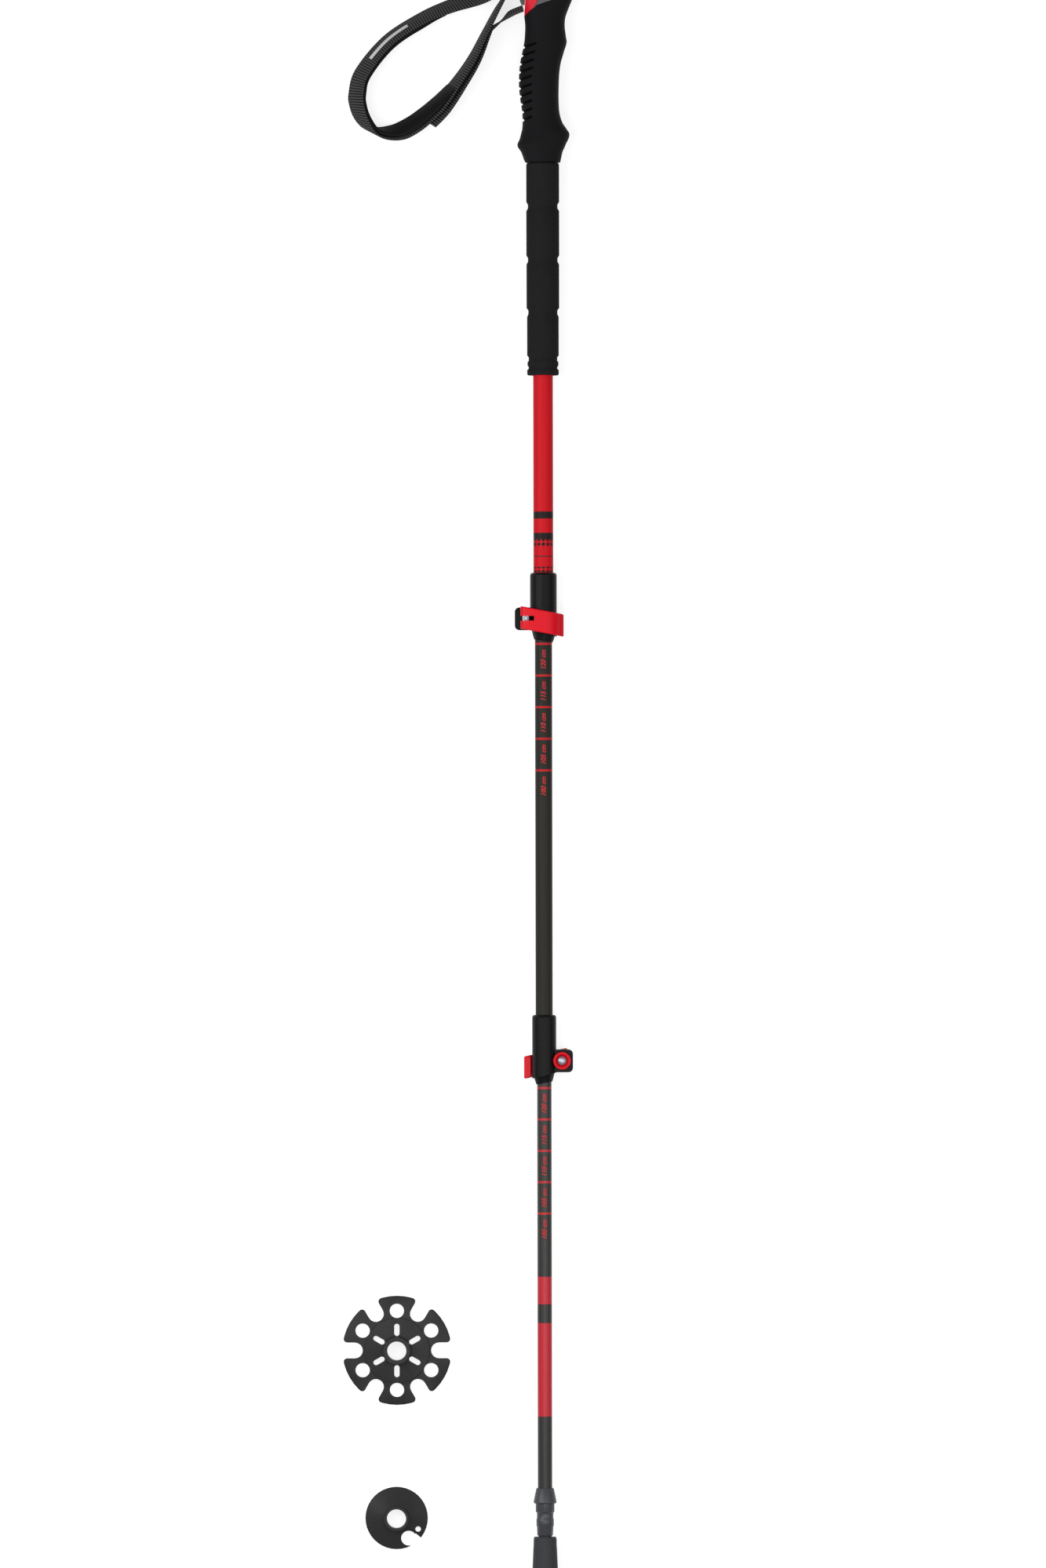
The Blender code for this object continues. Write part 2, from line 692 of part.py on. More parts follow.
def build_tip(pole, looks):
    """Ferrule with its basket collar, hard tip and rubber boot."""
    ferrule = lathe((
        (0.0, SPIKE_LOW + 0.010),
        (INSERT_R + GAP, SPIKE_LOW + 0.010),
        (INSERT_R + GAP, SPIKE_LOW),
        (SPIKE_R - 0.0012, SPIKE_LOW),
        (SPIKE_R, SPIKE_LOW + 0.006),
        (SPIKE_R, BOOT_TOP + 0.0008),
        (STEM_R - 0.0003, BOOT_TOP + 0.0014),
        (STEM_R, 0.0592),
        (STEM_R + 0.0004, 0.0598),
        (STEM_R + 0.0004, 0.0650),
        (STEM_R, 0.0656),
        (STEM_R, 0.0700),
        (NECK_R, 0.0708),
        (NECK_R, COLLAR_LOW),
        (COLLAR_R - 0.0004, COLLAR_LOW),
        (COLLAR_R, COLLAR_LOW + 0.0010),
        (COLLAR_R - 0.0004, COLLAR_LOW + 0.0030),
        (NECK_R - 0.0003, FERRULE_TOP - 0.0010),
        (NECK_R - 0.0009, FERRULE_TOP),
        (FERRULE_BORE_R, FERRULE_TOP),
        (FERRULE_BORE_R, TUBE_SEAT_Z),
        (0.0, TUBE_SEAT_Z),
    ))
    node("tip_ferrule", ferrule, looks["black"], pole)
    insert = lathe((
        (0.0, INSERT_LOW + 0.0010),
        (INSERT_R - 0.0007, INSERT_LOW),
        (INSERT_R, INSERT_LOW + 0.0008),
        (INSERT_R, SPIKE_LOW + 0.010 - GAP),
        (0.0, SPIKE_LOW + 0.010 - GAP),
    ), 24)
    node("tip_insert", insert, looks["steel"], pole)
    socket = SPIKE_R + GAP
    boot = lathe((
        (0.0, 0.0),
        (BOOT_R - 0.0012, 0.0),
        (BOOT_R, 0.0018),
        (BOOT_R, 0.0080),
        (BOOT_R - 0.0009, 0.0279),
        (BOOT_R - 0.0014, 0.0409),
        (BOOT_R - 0.00165, 0.0446),
        (BOOT_R - 0.00165, 0.0484),
        (BOOT_R - 0.0020, BOOT_TOP),
        (socket, BOOT_TOP),
        (socket, INSERT_LOW - 0.0008),
        (0.0, INSERT_LOW - 0.0008),
    ))
    node("tip_boot", boot, looks["boot"], pole)


def polar(radius, degrees):
    """Point at a distance and direction from the centre."""
    return (radius * math.cos(math.radians(degrees)), radius * math.sin(math.radians(degrees)))


def slot_cutter(start, end, half, direction):
    """Round-ended slot along a radius."""
    outline = arc((start + half, 0.0), half, 90, 270, 8) + arc((end - half, 0.0), half, -90, 90, 8)
    cutter = prism(outline, -0.01, 0.03)
    bmesh.ops.rotate(cutter, verts=cutter.verts, matrix=Matrix.Rotation(math.radians(direction), 3, 'Z'))
    return cutter


def snow_basket():
    """Wide basket: six lobes with holes, notches between them and slots round the hub."""
    hub_r = BASKET_BORE_R + 0.0033
    dish = lathe((
        (BASKET_BORE_R, 0.0030),
        (hub_r + 0.0012, 0.0030),
        (SNOW_R - 0.0020, 0.0),
        (SNOW_R, 0.0006),
        (SNOW_R, 0.0022),
        (SNOW_R - 0.0012, 0.0030),
        (SNOW_R - 0.0170, 0.0042),
        (SNOW_R - 0.0178, 0.0050),
        (hub_r + 0.0012, 0.0062),
        (hub_r, 0.0074),
        (hub_r, 0.0140),
        (hub_r - 0.0006, 0.0146),
        (BASKET_BORE_R, 0.0146),
    ), 48)
    cutters = []
    for step in range(6):
        notch_at = 60.0 * step
        lobe_at = notch_at + 30.0
        cutters.append(slot_cutter(0.0270, SNOW_R + 0.020, 0.0063, notch_at))
        cutters.append(slot_cutter(hub_r + 0.0006, 0.0212, 0.0021, lobe_at))
        cutters.append(rod(0.0057, (*polar(0.0313, lobe_at), -0.01), 0.03, segments=20))
    return cut(dish, *cutters)


def trekking_basket():
    """Small dished basket with a hooked notch and a small hole."""
    hub_r = BASKET_BORE_R + 0.0021
    dish = lathe((
        (BASKET_BORE_R, 0.0026),
        (hub_r + 0.0010, 0.0026),
        (TREK_R - 0.0014, 0.0),
        (TREK_R, 0.0005),
        (TREK_R, 0.0016),
        (TREK_R - 0.0010, 0.0022),
        (hub_r + 0.0010, 0.0060),
        (hub_r, 0.0070),
        (hub_r, 0.0118),
        (hub_r - 0.0005, 0.0124),
        (BASKET_BORE_R, 0.0124),
    ), 40)
    hook = rod(0.0060, (*polar(0.0185, -59.0), -0.01), 0.03, segments=24)
    mouth = prism(((0.0080, -0.0190), (0.0150, -0.0120), (0.0270, -0.0220), (0.0180, -0.0290)), -0.01, 0.03)
    hole = rod(0.0022, (*polar(0.0191, -27.0), -0.01), 0.03, segments=16)
    return cut(dish, join(hook, mouth), hole)


def build():
    """Lay the pole down and make every piece."""
    clear_scene()
    looks = {
        "black": material("black_plastic", (0.020, 0.020, 0.021), 0.45),
        "grey": material("grey_plastic", (0.115, 0.110, 0.115), 0.40),
        "red_metal": material("red_anodised", (0.56, 0.012, 0.022), 0.28, 0.7),
        "red_plastic": material("red_plastic", (0.52, 0.012, 0.022), 0.40),
        "steel": material("steel", (0.55, 0.55, 0.56), 0.30, 1.0),
        "rubber": material("grip_rubber", (0.012, 0.012, 0.013), 0.60),
        "foam": material("grip_foam", (0.014, 0.014, 0.015), 0.80),
        "webbing": material("black_webbing", (0.020, 0.020, 0.021), 0.80),
        "lining": material("strap_lining", (0.010, 0.010, 0.011), 0.70),
        "red_paint": material("red_paint", (0.46, 0.022, 0.026), 0.32, 0.3),
        "grey_anodised": material("grey_anodised", (0.045, 0.042, 0.036), 0.35, 0.6),
        "dark_anodised": material("dark_anodised", (0.040, 0.038, 0.036), 0.35, 0.6),
        "boot": material("boot_rubber", (0.016, 0.016, 0.017), 0.65),
    }
    pole = frame("pole_frame", (0.0, 0.0, 0.0))
    pole.rotation_euler = (math.radians(-90.0), 0.0, 0.0)
    build_grip(pole, looks)
    build_strap(pole, looks)
    build_foam(pole, looks)
    upper_low = UPPER_LOCK_Z + LOCK_SEAT_Z + GAP
    node("upper_tube", tube(UPPER_TUBE_R, upper_low, UPPER_TUBE_TOP), looks["red_paint"], pole)
    lock("upper_lock", UPPER_LOCK_Z, 0.0, UPPER_TUBE_R, MID_TUBE_R, pole, looks)
    mid_low = LOWER_LOCK_Z + LOCK_SEAT_Z + GAP
    mid_top = UPPER_LOCK_Z + MID_OVERLAP
    node("mid_tube", tube(MID_TUBE_R, mid_low, mid_top), looks["grey_anodised"], pole)
    node("mid_bush", guide_bush(MID_TUBE_R, UPPER_TUBE_R, mid_top), looks["black"], pole)
    lock("lower_lock", LOWER_LOCK_Z, 180.0, MID_TUBE_R, LOWER_TUBE_R, pole, looks)
    lower_top = LOWER_LOCK_Z + LOWER_OVERLAP
    node("lower_tube", tube(LOWER_TUBE_R, TUBE_SEAT_Z + GAP, lower_top), looks["dark_anodised"], pole)
    node("lower_bush", guide_bush(LOWER_TUBE_R, MID_TUBE_R, lower_top), looks["black"], pole)
    build_tip(pole, looks)
    snow = frame("snow_basket_frame", (*SNOW_AT, -REST_DROP))
    node("snow_basket", snow_basket(), looks["black"], snow)
    trek = frame("trekking_basket_frame", (*TREK_AT, -REST_DROP))
    node("trekking_basket", trekking_basket(), looks["black"], trek)


build()
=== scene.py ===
"""Looks of the telescopic pole: materials, fine forms, floor, light and camera."""
import json
import math

import bmesh
import bpy
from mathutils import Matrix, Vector

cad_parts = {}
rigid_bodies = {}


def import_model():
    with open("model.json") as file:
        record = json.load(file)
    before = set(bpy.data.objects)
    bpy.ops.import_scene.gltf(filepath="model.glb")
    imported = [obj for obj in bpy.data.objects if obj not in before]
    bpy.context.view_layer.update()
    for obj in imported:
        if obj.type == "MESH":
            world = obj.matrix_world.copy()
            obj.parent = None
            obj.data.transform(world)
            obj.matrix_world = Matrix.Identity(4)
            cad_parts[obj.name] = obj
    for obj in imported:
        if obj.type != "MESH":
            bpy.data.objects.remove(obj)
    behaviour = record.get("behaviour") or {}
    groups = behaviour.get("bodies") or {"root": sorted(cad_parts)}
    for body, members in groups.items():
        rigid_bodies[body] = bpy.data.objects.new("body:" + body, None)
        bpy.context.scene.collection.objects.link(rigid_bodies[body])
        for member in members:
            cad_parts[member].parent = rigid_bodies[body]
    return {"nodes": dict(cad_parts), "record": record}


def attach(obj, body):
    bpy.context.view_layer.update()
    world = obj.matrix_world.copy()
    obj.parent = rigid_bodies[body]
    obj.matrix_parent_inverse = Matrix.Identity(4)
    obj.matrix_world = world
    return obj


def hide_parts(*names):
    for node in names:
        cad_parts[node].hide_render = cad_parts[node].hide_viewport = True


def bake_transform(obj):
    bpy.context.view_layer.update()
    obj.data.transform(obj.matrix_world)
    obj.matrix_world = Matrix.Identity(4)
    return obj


for thing in list(bpy.data.objects):
    bpy.data.objects.remove(thing, do_unlink=True)

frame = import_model()
NODES = frame["nodes"]
BODY_OF = {}
for body_name, members in frame["record"]["behaviour"]["bodies"].items():
    for member in members:
        BODY_OF[member] = body_name
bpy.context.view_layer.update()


# Printed marks, in metres: bands are pairs of heights up the pole

RING_CM = (120, 115, 110, 105, 100)
RING_HALF = 0.00085
RING_RED = (0.46, 0.016, 0.022)
MID_RINGS_TOP, MID_RING_PITCH = 0.7567, 0.0250
LOWER_RINGS_TOP, LOWER_RING_PITCH = 0.4058, 0.0248

# The upper tube is dark in two printed bands, and painted dark as shade where foam and grip cover
# it, so the gap between them shows dark
UPPER_TUBE_R = 0.0078
UNDER_FOAM, ABOVE_POLE = 0.9800, 2.0
DARK_BANDS = ((0.8556, 0.8612), (0.8395, 0.8444), (UNDER_FOAM, ABOVE_POLE))
# Dark colour of the print, also used as painted shade on the tube under foam and grip
PRINT_AND_PAINTED_SHADE = (0.018, 0.014, 0.013)
FINE_LINE = (0.8252, 0.8263)
FINE_LINE_RED = (0.170, 0.020, 0.020)
CHECK_BANDS = ((0.8330, 0.8395), (0.8132, 0.8176))
CHECK_PITCH = 0.0036
CHECK_ROW = 0.8390
CHECK_LEVEL = 0.10

LOWER_BANDS = ((0.2350, 0.2567), (0.1463, 0.2201))
LOWER_BAND_RED = (0.480, 0.018, 0.032)

# Webbing: ribs across it, and a stripe by its place along and across the band
RIB_PITCH = 0.0021
STRIPE_ALONG = (0.0766, 0.1160)
STRIPE_ACROSS = (0.0076, 0.0122)
STRIPE_WHITE = (0.70, 0.70, 0.72)


# Materials

NOISE_DETAIL = 3.0
GRAIN_ROUGHNESS = 0.06
TUBE_ROUGHNESS = 0.04
DRAWN_MARKS = (1.0, 0.05, 1.0)


def new_look(name):
    """Empty procedural material with its node tree, shader and object coordinates."""
    made = bpy.data.materials.new(name)
    made.use_nodes = True
    tree = made.node_tree
    shader = tree.nodes["Principled BSDF"]
    place = tree.nodes.new("ShaderNodeTexCoord").outputs["Object"]
    return made, tree, shader, place


def noise(tree, place, scale, stretch=None):
    """Noise value at a place, stretched along the axes if asked."""
    if stretch:
        mapping = tree.nodes.new("ShaderNodeMapping")
        mapping.inputs["Scale"].default_value = stretch
        tree.links.new(place, mapping.inputs["Vector"])
        place = mapping.outputs["Vector"]
    made = tree.nodes.new("ShaderNodeTexNoise")
    made.inputs["Scale"].default_value = scale
    made.inputs["Detail"].default_value = NOISE_DETAIL
    tree.links.new(place, made.inputs["Vector"])
    return made.outputs["Fac"]


def maths(tree, operation, first, second=0.0, third=0.0):
    """One arithmetic step on sockets or numbers."""
    made = tree.nodes.new("ShaderNodeMath")
    made.operation = operation
    for index, value in enumerate((first, second, third)):
        if isinstance(value, (int, float)):
            made.inputs[index].default_value = value
        else:
            tree.links.new(value, made.inputs[index])
    return made.outputs[0]


def ramp(tree, value, dark, light, low=0.3, high=0.7):
    """Colour between two shades."""
    made = tree.nodes.new("ShaderNodeValToRGB")
    made.color_ramp.elements[0].position = low
    made.color_ramp.elements[0].color = (*dark, 1.0)
    made.color_ramp.elements[1].position = high
    made.color_ramp.elements[1].color = (*light, 1.0)
    tree.links.new(value, made.inputs["Fac"])
    return made.outputs["Color"]


def blend_colour(tree, share, first, second):
    """Mix two colours by a share."""
    made = tree.nodes.new("ShaderNodeMix")
    made.data_type = 'RGBA'
    tree.links.new(share, made.inputs["Factor"])
    colour_a = made.inputs[6]
    colour_b = made.inputs[7]
    for socket, value in ((colour_a, first), (colour_b, second)):
        if isinstance(value, tuple):
            socket.default_value = (*value, 1.0)
        else:
            tree.links.new(value, socket)
    return made.outputs[2]


def roughen(tree, shader, value, low, high):
    """Roughness that follows a value."""
    made = tree.nodes.new("ShaderNodeMapRange")
    made.inputs["To Min"].default_value = low
    made.inputs["To Max"].default_value = high
    tree.links.new(value, made.inputs["Value"])
    tree.links.new(made.outputs["Result"], shader.inputs["Roughness"])


def bump(tree, shader, height, strength, distance):
    """Surface relief from a height value."""
    made = tree.nodes.new("ShaderNodeBump")
    made.inputs["Strength"].default_value = strength
    made.inputs["Distance"].default_value = distance
    tree.links.new(height, made.inputs["Height"])
    tree.links.new(made.outputs["Normal"], shader.inputs["Normal"])


def grained(name, dark, light, rough, shine=0.12, metal=0.0, scale=900.0, relief=0.15,
            depth=0.0002):
    """Two-shade material with fine grain in colour, roughness and relief."""
    made, tree, shader, place = new_look(name)
    value = noise(tree, place, scale)
    shader.inputs["Specular IOR Level"].default_value = shine
    tree.links.new(ramp(tree, value, dark, light), shader.inputs["Base Color"])
    roughen(tree, shader, value, rough - GRAIN_ROUGHNESS, rough + GRAIN_ROUGHNESS)
    shader.inputs["Metallic"].default_value = metal
    bump(tree, shader, value, relief, depth)
    return made


def parts_of(tree, place):
    """The three numbers of a place."""
    split = tree.nodes.new("ShaderNodeSeparateXYZ")
    tree.links.new(place, split.inputs["Vector"])
    return split.outputs["X"], split.outputs["Y"], split.outputs["Z"]


def band(tree, height, low, high):
    """1 between two heights, else 0."""
    above = maths(tree, 'GREATER_THAN', height, low)
    under = maths(tree, 'LESS_THAN', height, high)
    return maths(tree, 'MULTIPLY', above, under)


def ringed(tree, colour, height, top, pitch):
    """A tube's colour with its row of red length rings, down from a top height."""
    start = top + pitch / 2.0
    turns = maths(tree, 'DIVIDE', maths(tree, 'SUBTRACT', start, height), pitch)
    offset = maths(tree, 'SUBTRACT', maths(tree, 'FRACT', turns), 0.5)
    near = maths(tree, 'LESS_THAN', maths(tree, 'ABSOLUTE', offset), RING_HALF / pitch)
    inside = band(tree, height, top - pitch * (len(RING_CM) - 0.5), start)
    return blend_colour(tree, maths(tree, 'MULTIPLY', near, inside), colour, RING_RED)


def tube_base(name, dark, light, rough, shine):
    """Satin tube finish with faint lengthwise drawing marks, and the numbers of its place."""
    made, tree, shader, place = new_look(name)
    value = noise(tree, place, scale=500.0, stretch=DRAWN_MARKS)
    colour = ramp(tree, value, dark, light)
    roughen(tree, shader, value, rough - TUBE_ROUGHNESS, rough + TUBE_ROUGHNESS)
    shader.inputs["Specular IOR Level"].default_value = shine
    bump(tree, shader, value, strength=0.02, distance=0.0001)
    return made, tree, shader, colour, parts_of(tree, place)


def upper_tube_look():
    """Red tube with two printed dark bands, a fine line and two check bands above the lock, and
    painted shade where foam and grip cover it.
    """
    made, tree, shader, colour, (across, height, depth) = tube_base(
        "upper_tube_red", (0.530, 0.007, 0.014), (0.570, 0.009, 0.017), rough=0.44, shine=0.07)
    # The first two bands are print; the last is painted shade over the tube where foam and grip
    # cover it
    for low, high in DARK_BANDS:
        colour = blend_colour(tree, band(tree, height, low, high), colour, PRINT_AND_PAINTED_SHADE)
    colour = blend_colour(tree, band(tree, height, *FINE_LINE), colour, FINE_LINE_RED)
    around = maths(tree, 'MULTIPLY', maths(tree, 'ARCTAN2', across, depth), UPPER_TUBE_R)
    waves = []
    for run in (around, maths(tree, 'SUBTRACT', height, CHECK_ROW)):
        turn = maths(tree, 'MULTIPLY', run, 2.0 * math.pi / CHECK_PITCH)
        waves.append(maths(tree, 'COSINE', turn))
    dots = maths(tree, 'GREATER_THAN', maths(tree, 'ADD', *waves), CHECK_LEVEL)
    for low, high in CHECK_BANDS:
        share = maths(tree, 'MULTIPLY', band(tree, height, low, high), dots)
        colour = blend_colour(tree, share, colour, PRINT_AND_PAINTED_SHADE)
    tree.links.new(colour, shader.inputs["Base Color"])
    return made


def mid_tube_look():
    """Dark olive grey tube with red length rings."""
    made, tree, shader, colour, (_, height, _) = tube_base(
        "mid_tube_grey", (0.0215, 0.0200, 0.0165), (0.0260, 0.0240, 0.0200), rough=0.42, shine=0.08)
    colour = ringed(tree, colour, height, MID_RINGS_TOP, MID_RING_PITCH)
    tree.links.new(colour, shader.inputs["Base Color"])
    return made


def lower_tube_look():
    """Dark grey tube with red length rings and two red bands."""
    made, tree, shader, colour, (_, height, _) = tube_base(
        "lower_tube_dark", (0.026, 0.025, 0.023), (0.032, 0.031, 0.028), rough=0.36, shine=0.25)
    colour = ringed(tree, colour, height, LOWER_RINGS_TOP, LOWER_RING_PITCH)
    for low, high in LOWER_BANDS:
        colour = blend_colour(tree, band(tree, height, low, high), colour, LOWER_BAND_RED)
    tree.links.new(colour, shader.inputs["Base Color"])
    return made


def webbing_look(name, striped):
    """Black webbing with cross ribs, with painted shade in their hollows and lighter crests, laid
    out by the strap's own lengths.

    The striped one has a plain white stripe.
    """
    made, tree, shader, place = new_look(name)
    layout = tree.nodes.new("ShaderNodeUVMap")
    layout.uv_map = "lengths"
    along, across, _ = parts_of(tree, layout.outputs["UV"])
    wave = maths(tree, 'SINE', maths(tree, 'MULTIPLY', along, 2.0 * math.pi / RIB_PITCH))
    rib = maths(tree, 'MULTIPLY_ADD', wave, 0.5, 0.5)
    grain = noise(tree, place, scale=1800.0)
    height = maths(tree, 'MULTIPLY_ADD', grain, 0.25, rib)
    # Painted shade: the colour follows the ribs' height, dark in their hollows and lighter on their
    # crests, with random grain in it
    colour = ramp(
        tree, height, (0.004, 0.004, 0.0045), (0.070, 0.070, 0.073), low=0.30, high=1.05)
    if striped:
        lengthwise = band(tree, along, *STRIPE_ALONG)
        stripe = maths(tree, 'MULTIPLY', lengthwise, band(tree, across, *STRIPE_ACROSS))
        colour = blend_colour(tree, stripe, colour, STRIPE_WHITE)
    tree.links.new(colour, shader.inputs["Base Color"])
    shader.inputs["Specular IOR Level"].default_value = 0.12
    roughen(tree, shader, grain, low=0.62, high=0.80)
    bump(tree, shader, height, strength=0.7, distance=0.0004)
    return made


def grip_look():
    """Moulded black rubber, with painted shade darkening the bottom of the rear grooves, which are
    also duller.
    """
    made, tree, shader, place = new_look("grip_rubber_look")
    value = noise(tree, place, scale=1400.0)
    colour = ramp(tree, value, (0.0042, 0.0042, 0.0050), (0.0075, 0.0075, 0.0086))
    sunk = tree.nodes.new("ShaderNodeAttribute")
    sunk.attribute_name = "sunk"
    # Painted shade: the groove bottoms are blended towards black by how deep they lie
    colour = blend_colour(tree, sunk.outputs["Fac"], colour, (0.0006, 0.0006, 0.0007))
    tree.links.new(colour, shader.inputs["Base Color"])
    shader.inputs["Specular IOR Level"].default_value = 0.10
    dull = maths(tree, 'MAXIMUM', value, sunk.outputs["Fac"])
    roughen(tree, shader, dull, low=0.42, high=0.95)
    bump(tree, shader, value, strength=0.25, distance=0.0002)
    return made


LOOKS = {
    "black": grained(
        "black_plastic_look", (0.0060, 0.0062, 0.0075), (0.0100, 0.0102, 0.0120), rough=0.40),
    "collar": grained(
        "collar_look", (0.0050, 0.0050, 0.0054), (0.0082, 0.0082, 0.0086), rough=0.36, shine=0.08),
    "ferrule": grained(
        "ferrule_look", (0.0400, 0.0425, 0.0490), (0.0520, 0.0550, 0.0620), rough=0.36, shine=0.3),
    "grey": grained(
        "grey_plastic_look", (0.095, 0.092, 0.098), (0.120, 0.116, 0.122), rough=0.42),
    "red_metal": grained(
        "red_anodised_look", (0.640, 0.003, 0.012), (0.700, 0.004, 0.016), rough=0.34,
        scale=1500.0, relief=0.05),
    "red_plastic": grained(
        "red_wedge_look", (0.600, 0.006, 0.020), (0.660, 0.010, 0.028), rough=0.38),
    "bright": grained(
        "bright_steel_look", (0.70, 0.71, 0.73), (0.80, 0.81, 0.83), rough=0.32,
        metal=0.2, scale=1200.0, relief=0.05),
    "steel": grained(
        "steel_look", (0.30, 0.32, 0.36), (0.40, 0.42, 0.47), rough=0.40,
        shine=0.4, metal=0.8, scale=1200.0, relief=0.08),
    "rubber": grip_look(),
    "foam": grained(
        "grip_foam_look", (0.0095, 0.0095, 0.0102), (0.0175, 0.0175, 0.0186), rough=0.80,
        shine=0.06, scale=1700.0, relief=0.5, depth=0.0003),
    "lining": grained(
        "lining_look", (0.0035, 0.0035, 0.0038), (0.0065, 0.0065, 0.0070), rough=0.66,
        scale=2200.0, relief=0.3),
    "basket": grained(
        "basket_look", (0.0250, 0.0242, 0.0240), (0.0330, 0.0320, 0.0318), rough=0.40,
        shine=0.10, scale=1100.0, relief=0.10),
    "boot": grained(
        "boot_rubber_look", (0.0330, 0.0350, 0.0385), (0.0440, 0.0465, 0.0505), rough=0.55,
        scale=1300.0, relief=0.3),
    "label": grained(
        "label_red_look", (0.46, 0.018, 0.024), (0.52, 0.024, 0.030), rough=0.40),
    "upper_tube": upper_tube_look(),
    "mid_tube": mid_tube_look(),
    "lower_tube": lower_tube_look(),
    "webbing": webbing_look("ribbed_webbing", True),
    "webbing_plain": webbing_look("plain_webbing", False),
}


# Pieces

WELD = 0.000005
FLAT_DEGREES = 1.0
EDGE_DEGREES = 38.0
GRIP_SMOOTH, STRAP_SMOOTH = 50.0, 60.0


def linked(name, data):
    """New object in the scene."""
    thing = bpy.data.objects.new(name, data)
    bpy.context.scene.collection.objects.link(thing)
    return thing


def finished(name, solid):
    """Mesh from a bmesh, which is freed."""
    mesh = bpy.data.meshes.new(name)
    solid.to_mesh(mesh)
    solid.free()
    return mesh


def show(name, mesh, look, body, stands_for=(), angle=35.0):
    """Add a finished mesh as a piece that moves with a body, if it names one."""
    mesh.materials.clear()
    mesh.materials.append(LOOKS[look])
    mesh.shade_smooth()
    mesh.set_sharp_from_angle(angle=math.radians(angle))
    thing = linked(name, mesh)
    if body:
        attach(thing, body)
    if stands_for:
        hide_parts(*stands_for)
    return thing


def refined(node, look, edge=0.0, source=None, reshape=None, rim=None):
    """Copy of a CAD node, welded, with flat faces joined and its sharp edges rounded.

    A source mesh stands in for the node's own, a reshape gives its points new places, and a
    rim picks the only edges that are rounded.
    """
    solid = bmesh.new()
    solid.from_mesh(source or NODES[node].data)
    if reshape:
        for point in solid.verts:
            point.co = reshape(point.co)
    bmesh.ops.remove_doubles(solid, verts=solid.verts, dist=WELD)
    flat = math.radians(FLAT_DEGREES)
    bmesh.ops.dissolve_limit(solid, angle_limit=flat, verts=solid.verts, edges=solid.edges)
    if rim:
        weight = solid.edges.layers.float.new("bevel_weight_edge")
        solid.normal_update()
        for line in solid.edges:
            line[weight] = 1.0 if rim(line) else 0.0
    mesh = finished("look_" + node, solid)
    thing = show("look_" + node, mesh, look, BODY_OF[node], (node,))
    if edge:
        rounding = thing.modifiers.new("edges", 'BEVEL')
        rounding.width = edge
        rounding.segments = 3 if rim else 2
        rounding.limit_method = 'WEIGHT' if rim else 'ANGLE'
        rounding.angle_limit = math.radians(EDGE_DEGREES)
        rounding.use_clamp_overlap = not rim
        rounding.harden_normals = True
    return thing


# Snow basket: the corners of its notch mouths are cut round

BASKET_MIDDLE = Vector((-0.1170, 0.1978, 0.0))
BASKET_RIM = 0.0432
BASKET_NOTCHES = 6
NOTCH_HALF = 0.0063
NOTCH_FILLET = 0.0028
FILLET_STEPS = 8
# How far the cutter stands out into the notch, past the rim, and above and below
CUT_INTO_NOTCH, CUT_PAST_RIM, CUT_HALF = 0.0006, 0.002, 0.03


def corner_outline():
    """Outline of what is cut off one corner of a notch that opens along the first axis."""
    reach = math.sqrt((BASKET_RIM - NOTCH_FILLET) ** 2 - (NOTCH_HALF + NOTCH_FILLET) ** 2)
    leave = math.atan2(NOTCH_HALF + NOTCH_FILLET, reach)
    past = BASKET_RIM + CUT_PAST_RIM
    outline = [(reach, NOTCH_HALF - CUT_INTO_NOTCH), (past, NOTCH_HALF - CUT_INTO_NOTCH)]
    outline.append((past * math.cos(leave), past * math.sin(leave)))
    for step in range(FILLET_STEPS + 1):
        angle = leave + (-math.pi / 2.0 - leave) * step / FILLET_STEPS
        u = reach + NOTCH_FILLET * math.cos(angle)
        v = NOTCH_HALF + NOTCH_FILLET + NOTCH_FILLET * math.sin(angle)
        outline.append((u, v))
    return outline


def notch_corners():
    """Cutter for both corners of every notch mouth."""
    corners = bmesh.new()
    outline = corner_outline()
    for notch in range(BASKET_NOTCHES):
        turn = math.radians(360.0 / BASKET_NOTCHES * notch)
        c, s = math.cos(turn), math.sin(turn)
        for side in (1.0, -1.0):
            ring = [(u * c - side * v * s, u * s + side * v * c) for u, v in outline]
            rows = []
            for z in (-CUT_HALF, CUT_HALF):
                places = [BASKET_MIDDLE + Vector((x, y, z)) for x, y in ring]
                rows.append([corners.verts.new(place) for place in places])
            low, high = rows
            corners.faces.new(low)
            corners.faces.new(high)
            for index in range(len(ring)):
                after = (index + 1) % len(ring)
                corners.faces.new((low[index], low[after], high[after], high[index]))
    bmesh.ops.recalc_face_normals(corners, faces=corners.faces)
    return finished("notch_corners", corners)


def rounded_basket():
    """Snow basket with the corners of its six notch mouths rounded."""
    cutter = linked("notch_corners", notch_corners())
    welded = bmesh.new()
    welded.from_mesh(NODES["snow_basket"].data)
    bmesh.ops.remove_doubles(welded, verts=welded.verts, dist=WELD)
    plain = linked("plain_basket", finished("plain_basket", welded))
    rounding = plain.modifiers.new("corners", 'BOOLEAN')
    rounding.operation = 'DIFFERENCE'
    rounding.solver = 'MANIFOLD'
    rounding.object = cutter
    graph = bpy.context.evaluated_depsgraph_get()
    made = bpy.data.meshes.new_from_object(plain.evaluated_get(graph))
    for thing in (cutter, plain):
        bpy.data.objects.remove(thing, do_unlink=True)
    return made


# Locks: collars with a fine seam and a drawn-in nose, levers with rounded rims

# Foot, bore and side of the lever's eye of each lock's collar
COLLARS = {"upper_lock": (0.7580, 0.00707, 1.0), "lower_lock": (0.4086, 0.00602, -1.0)}
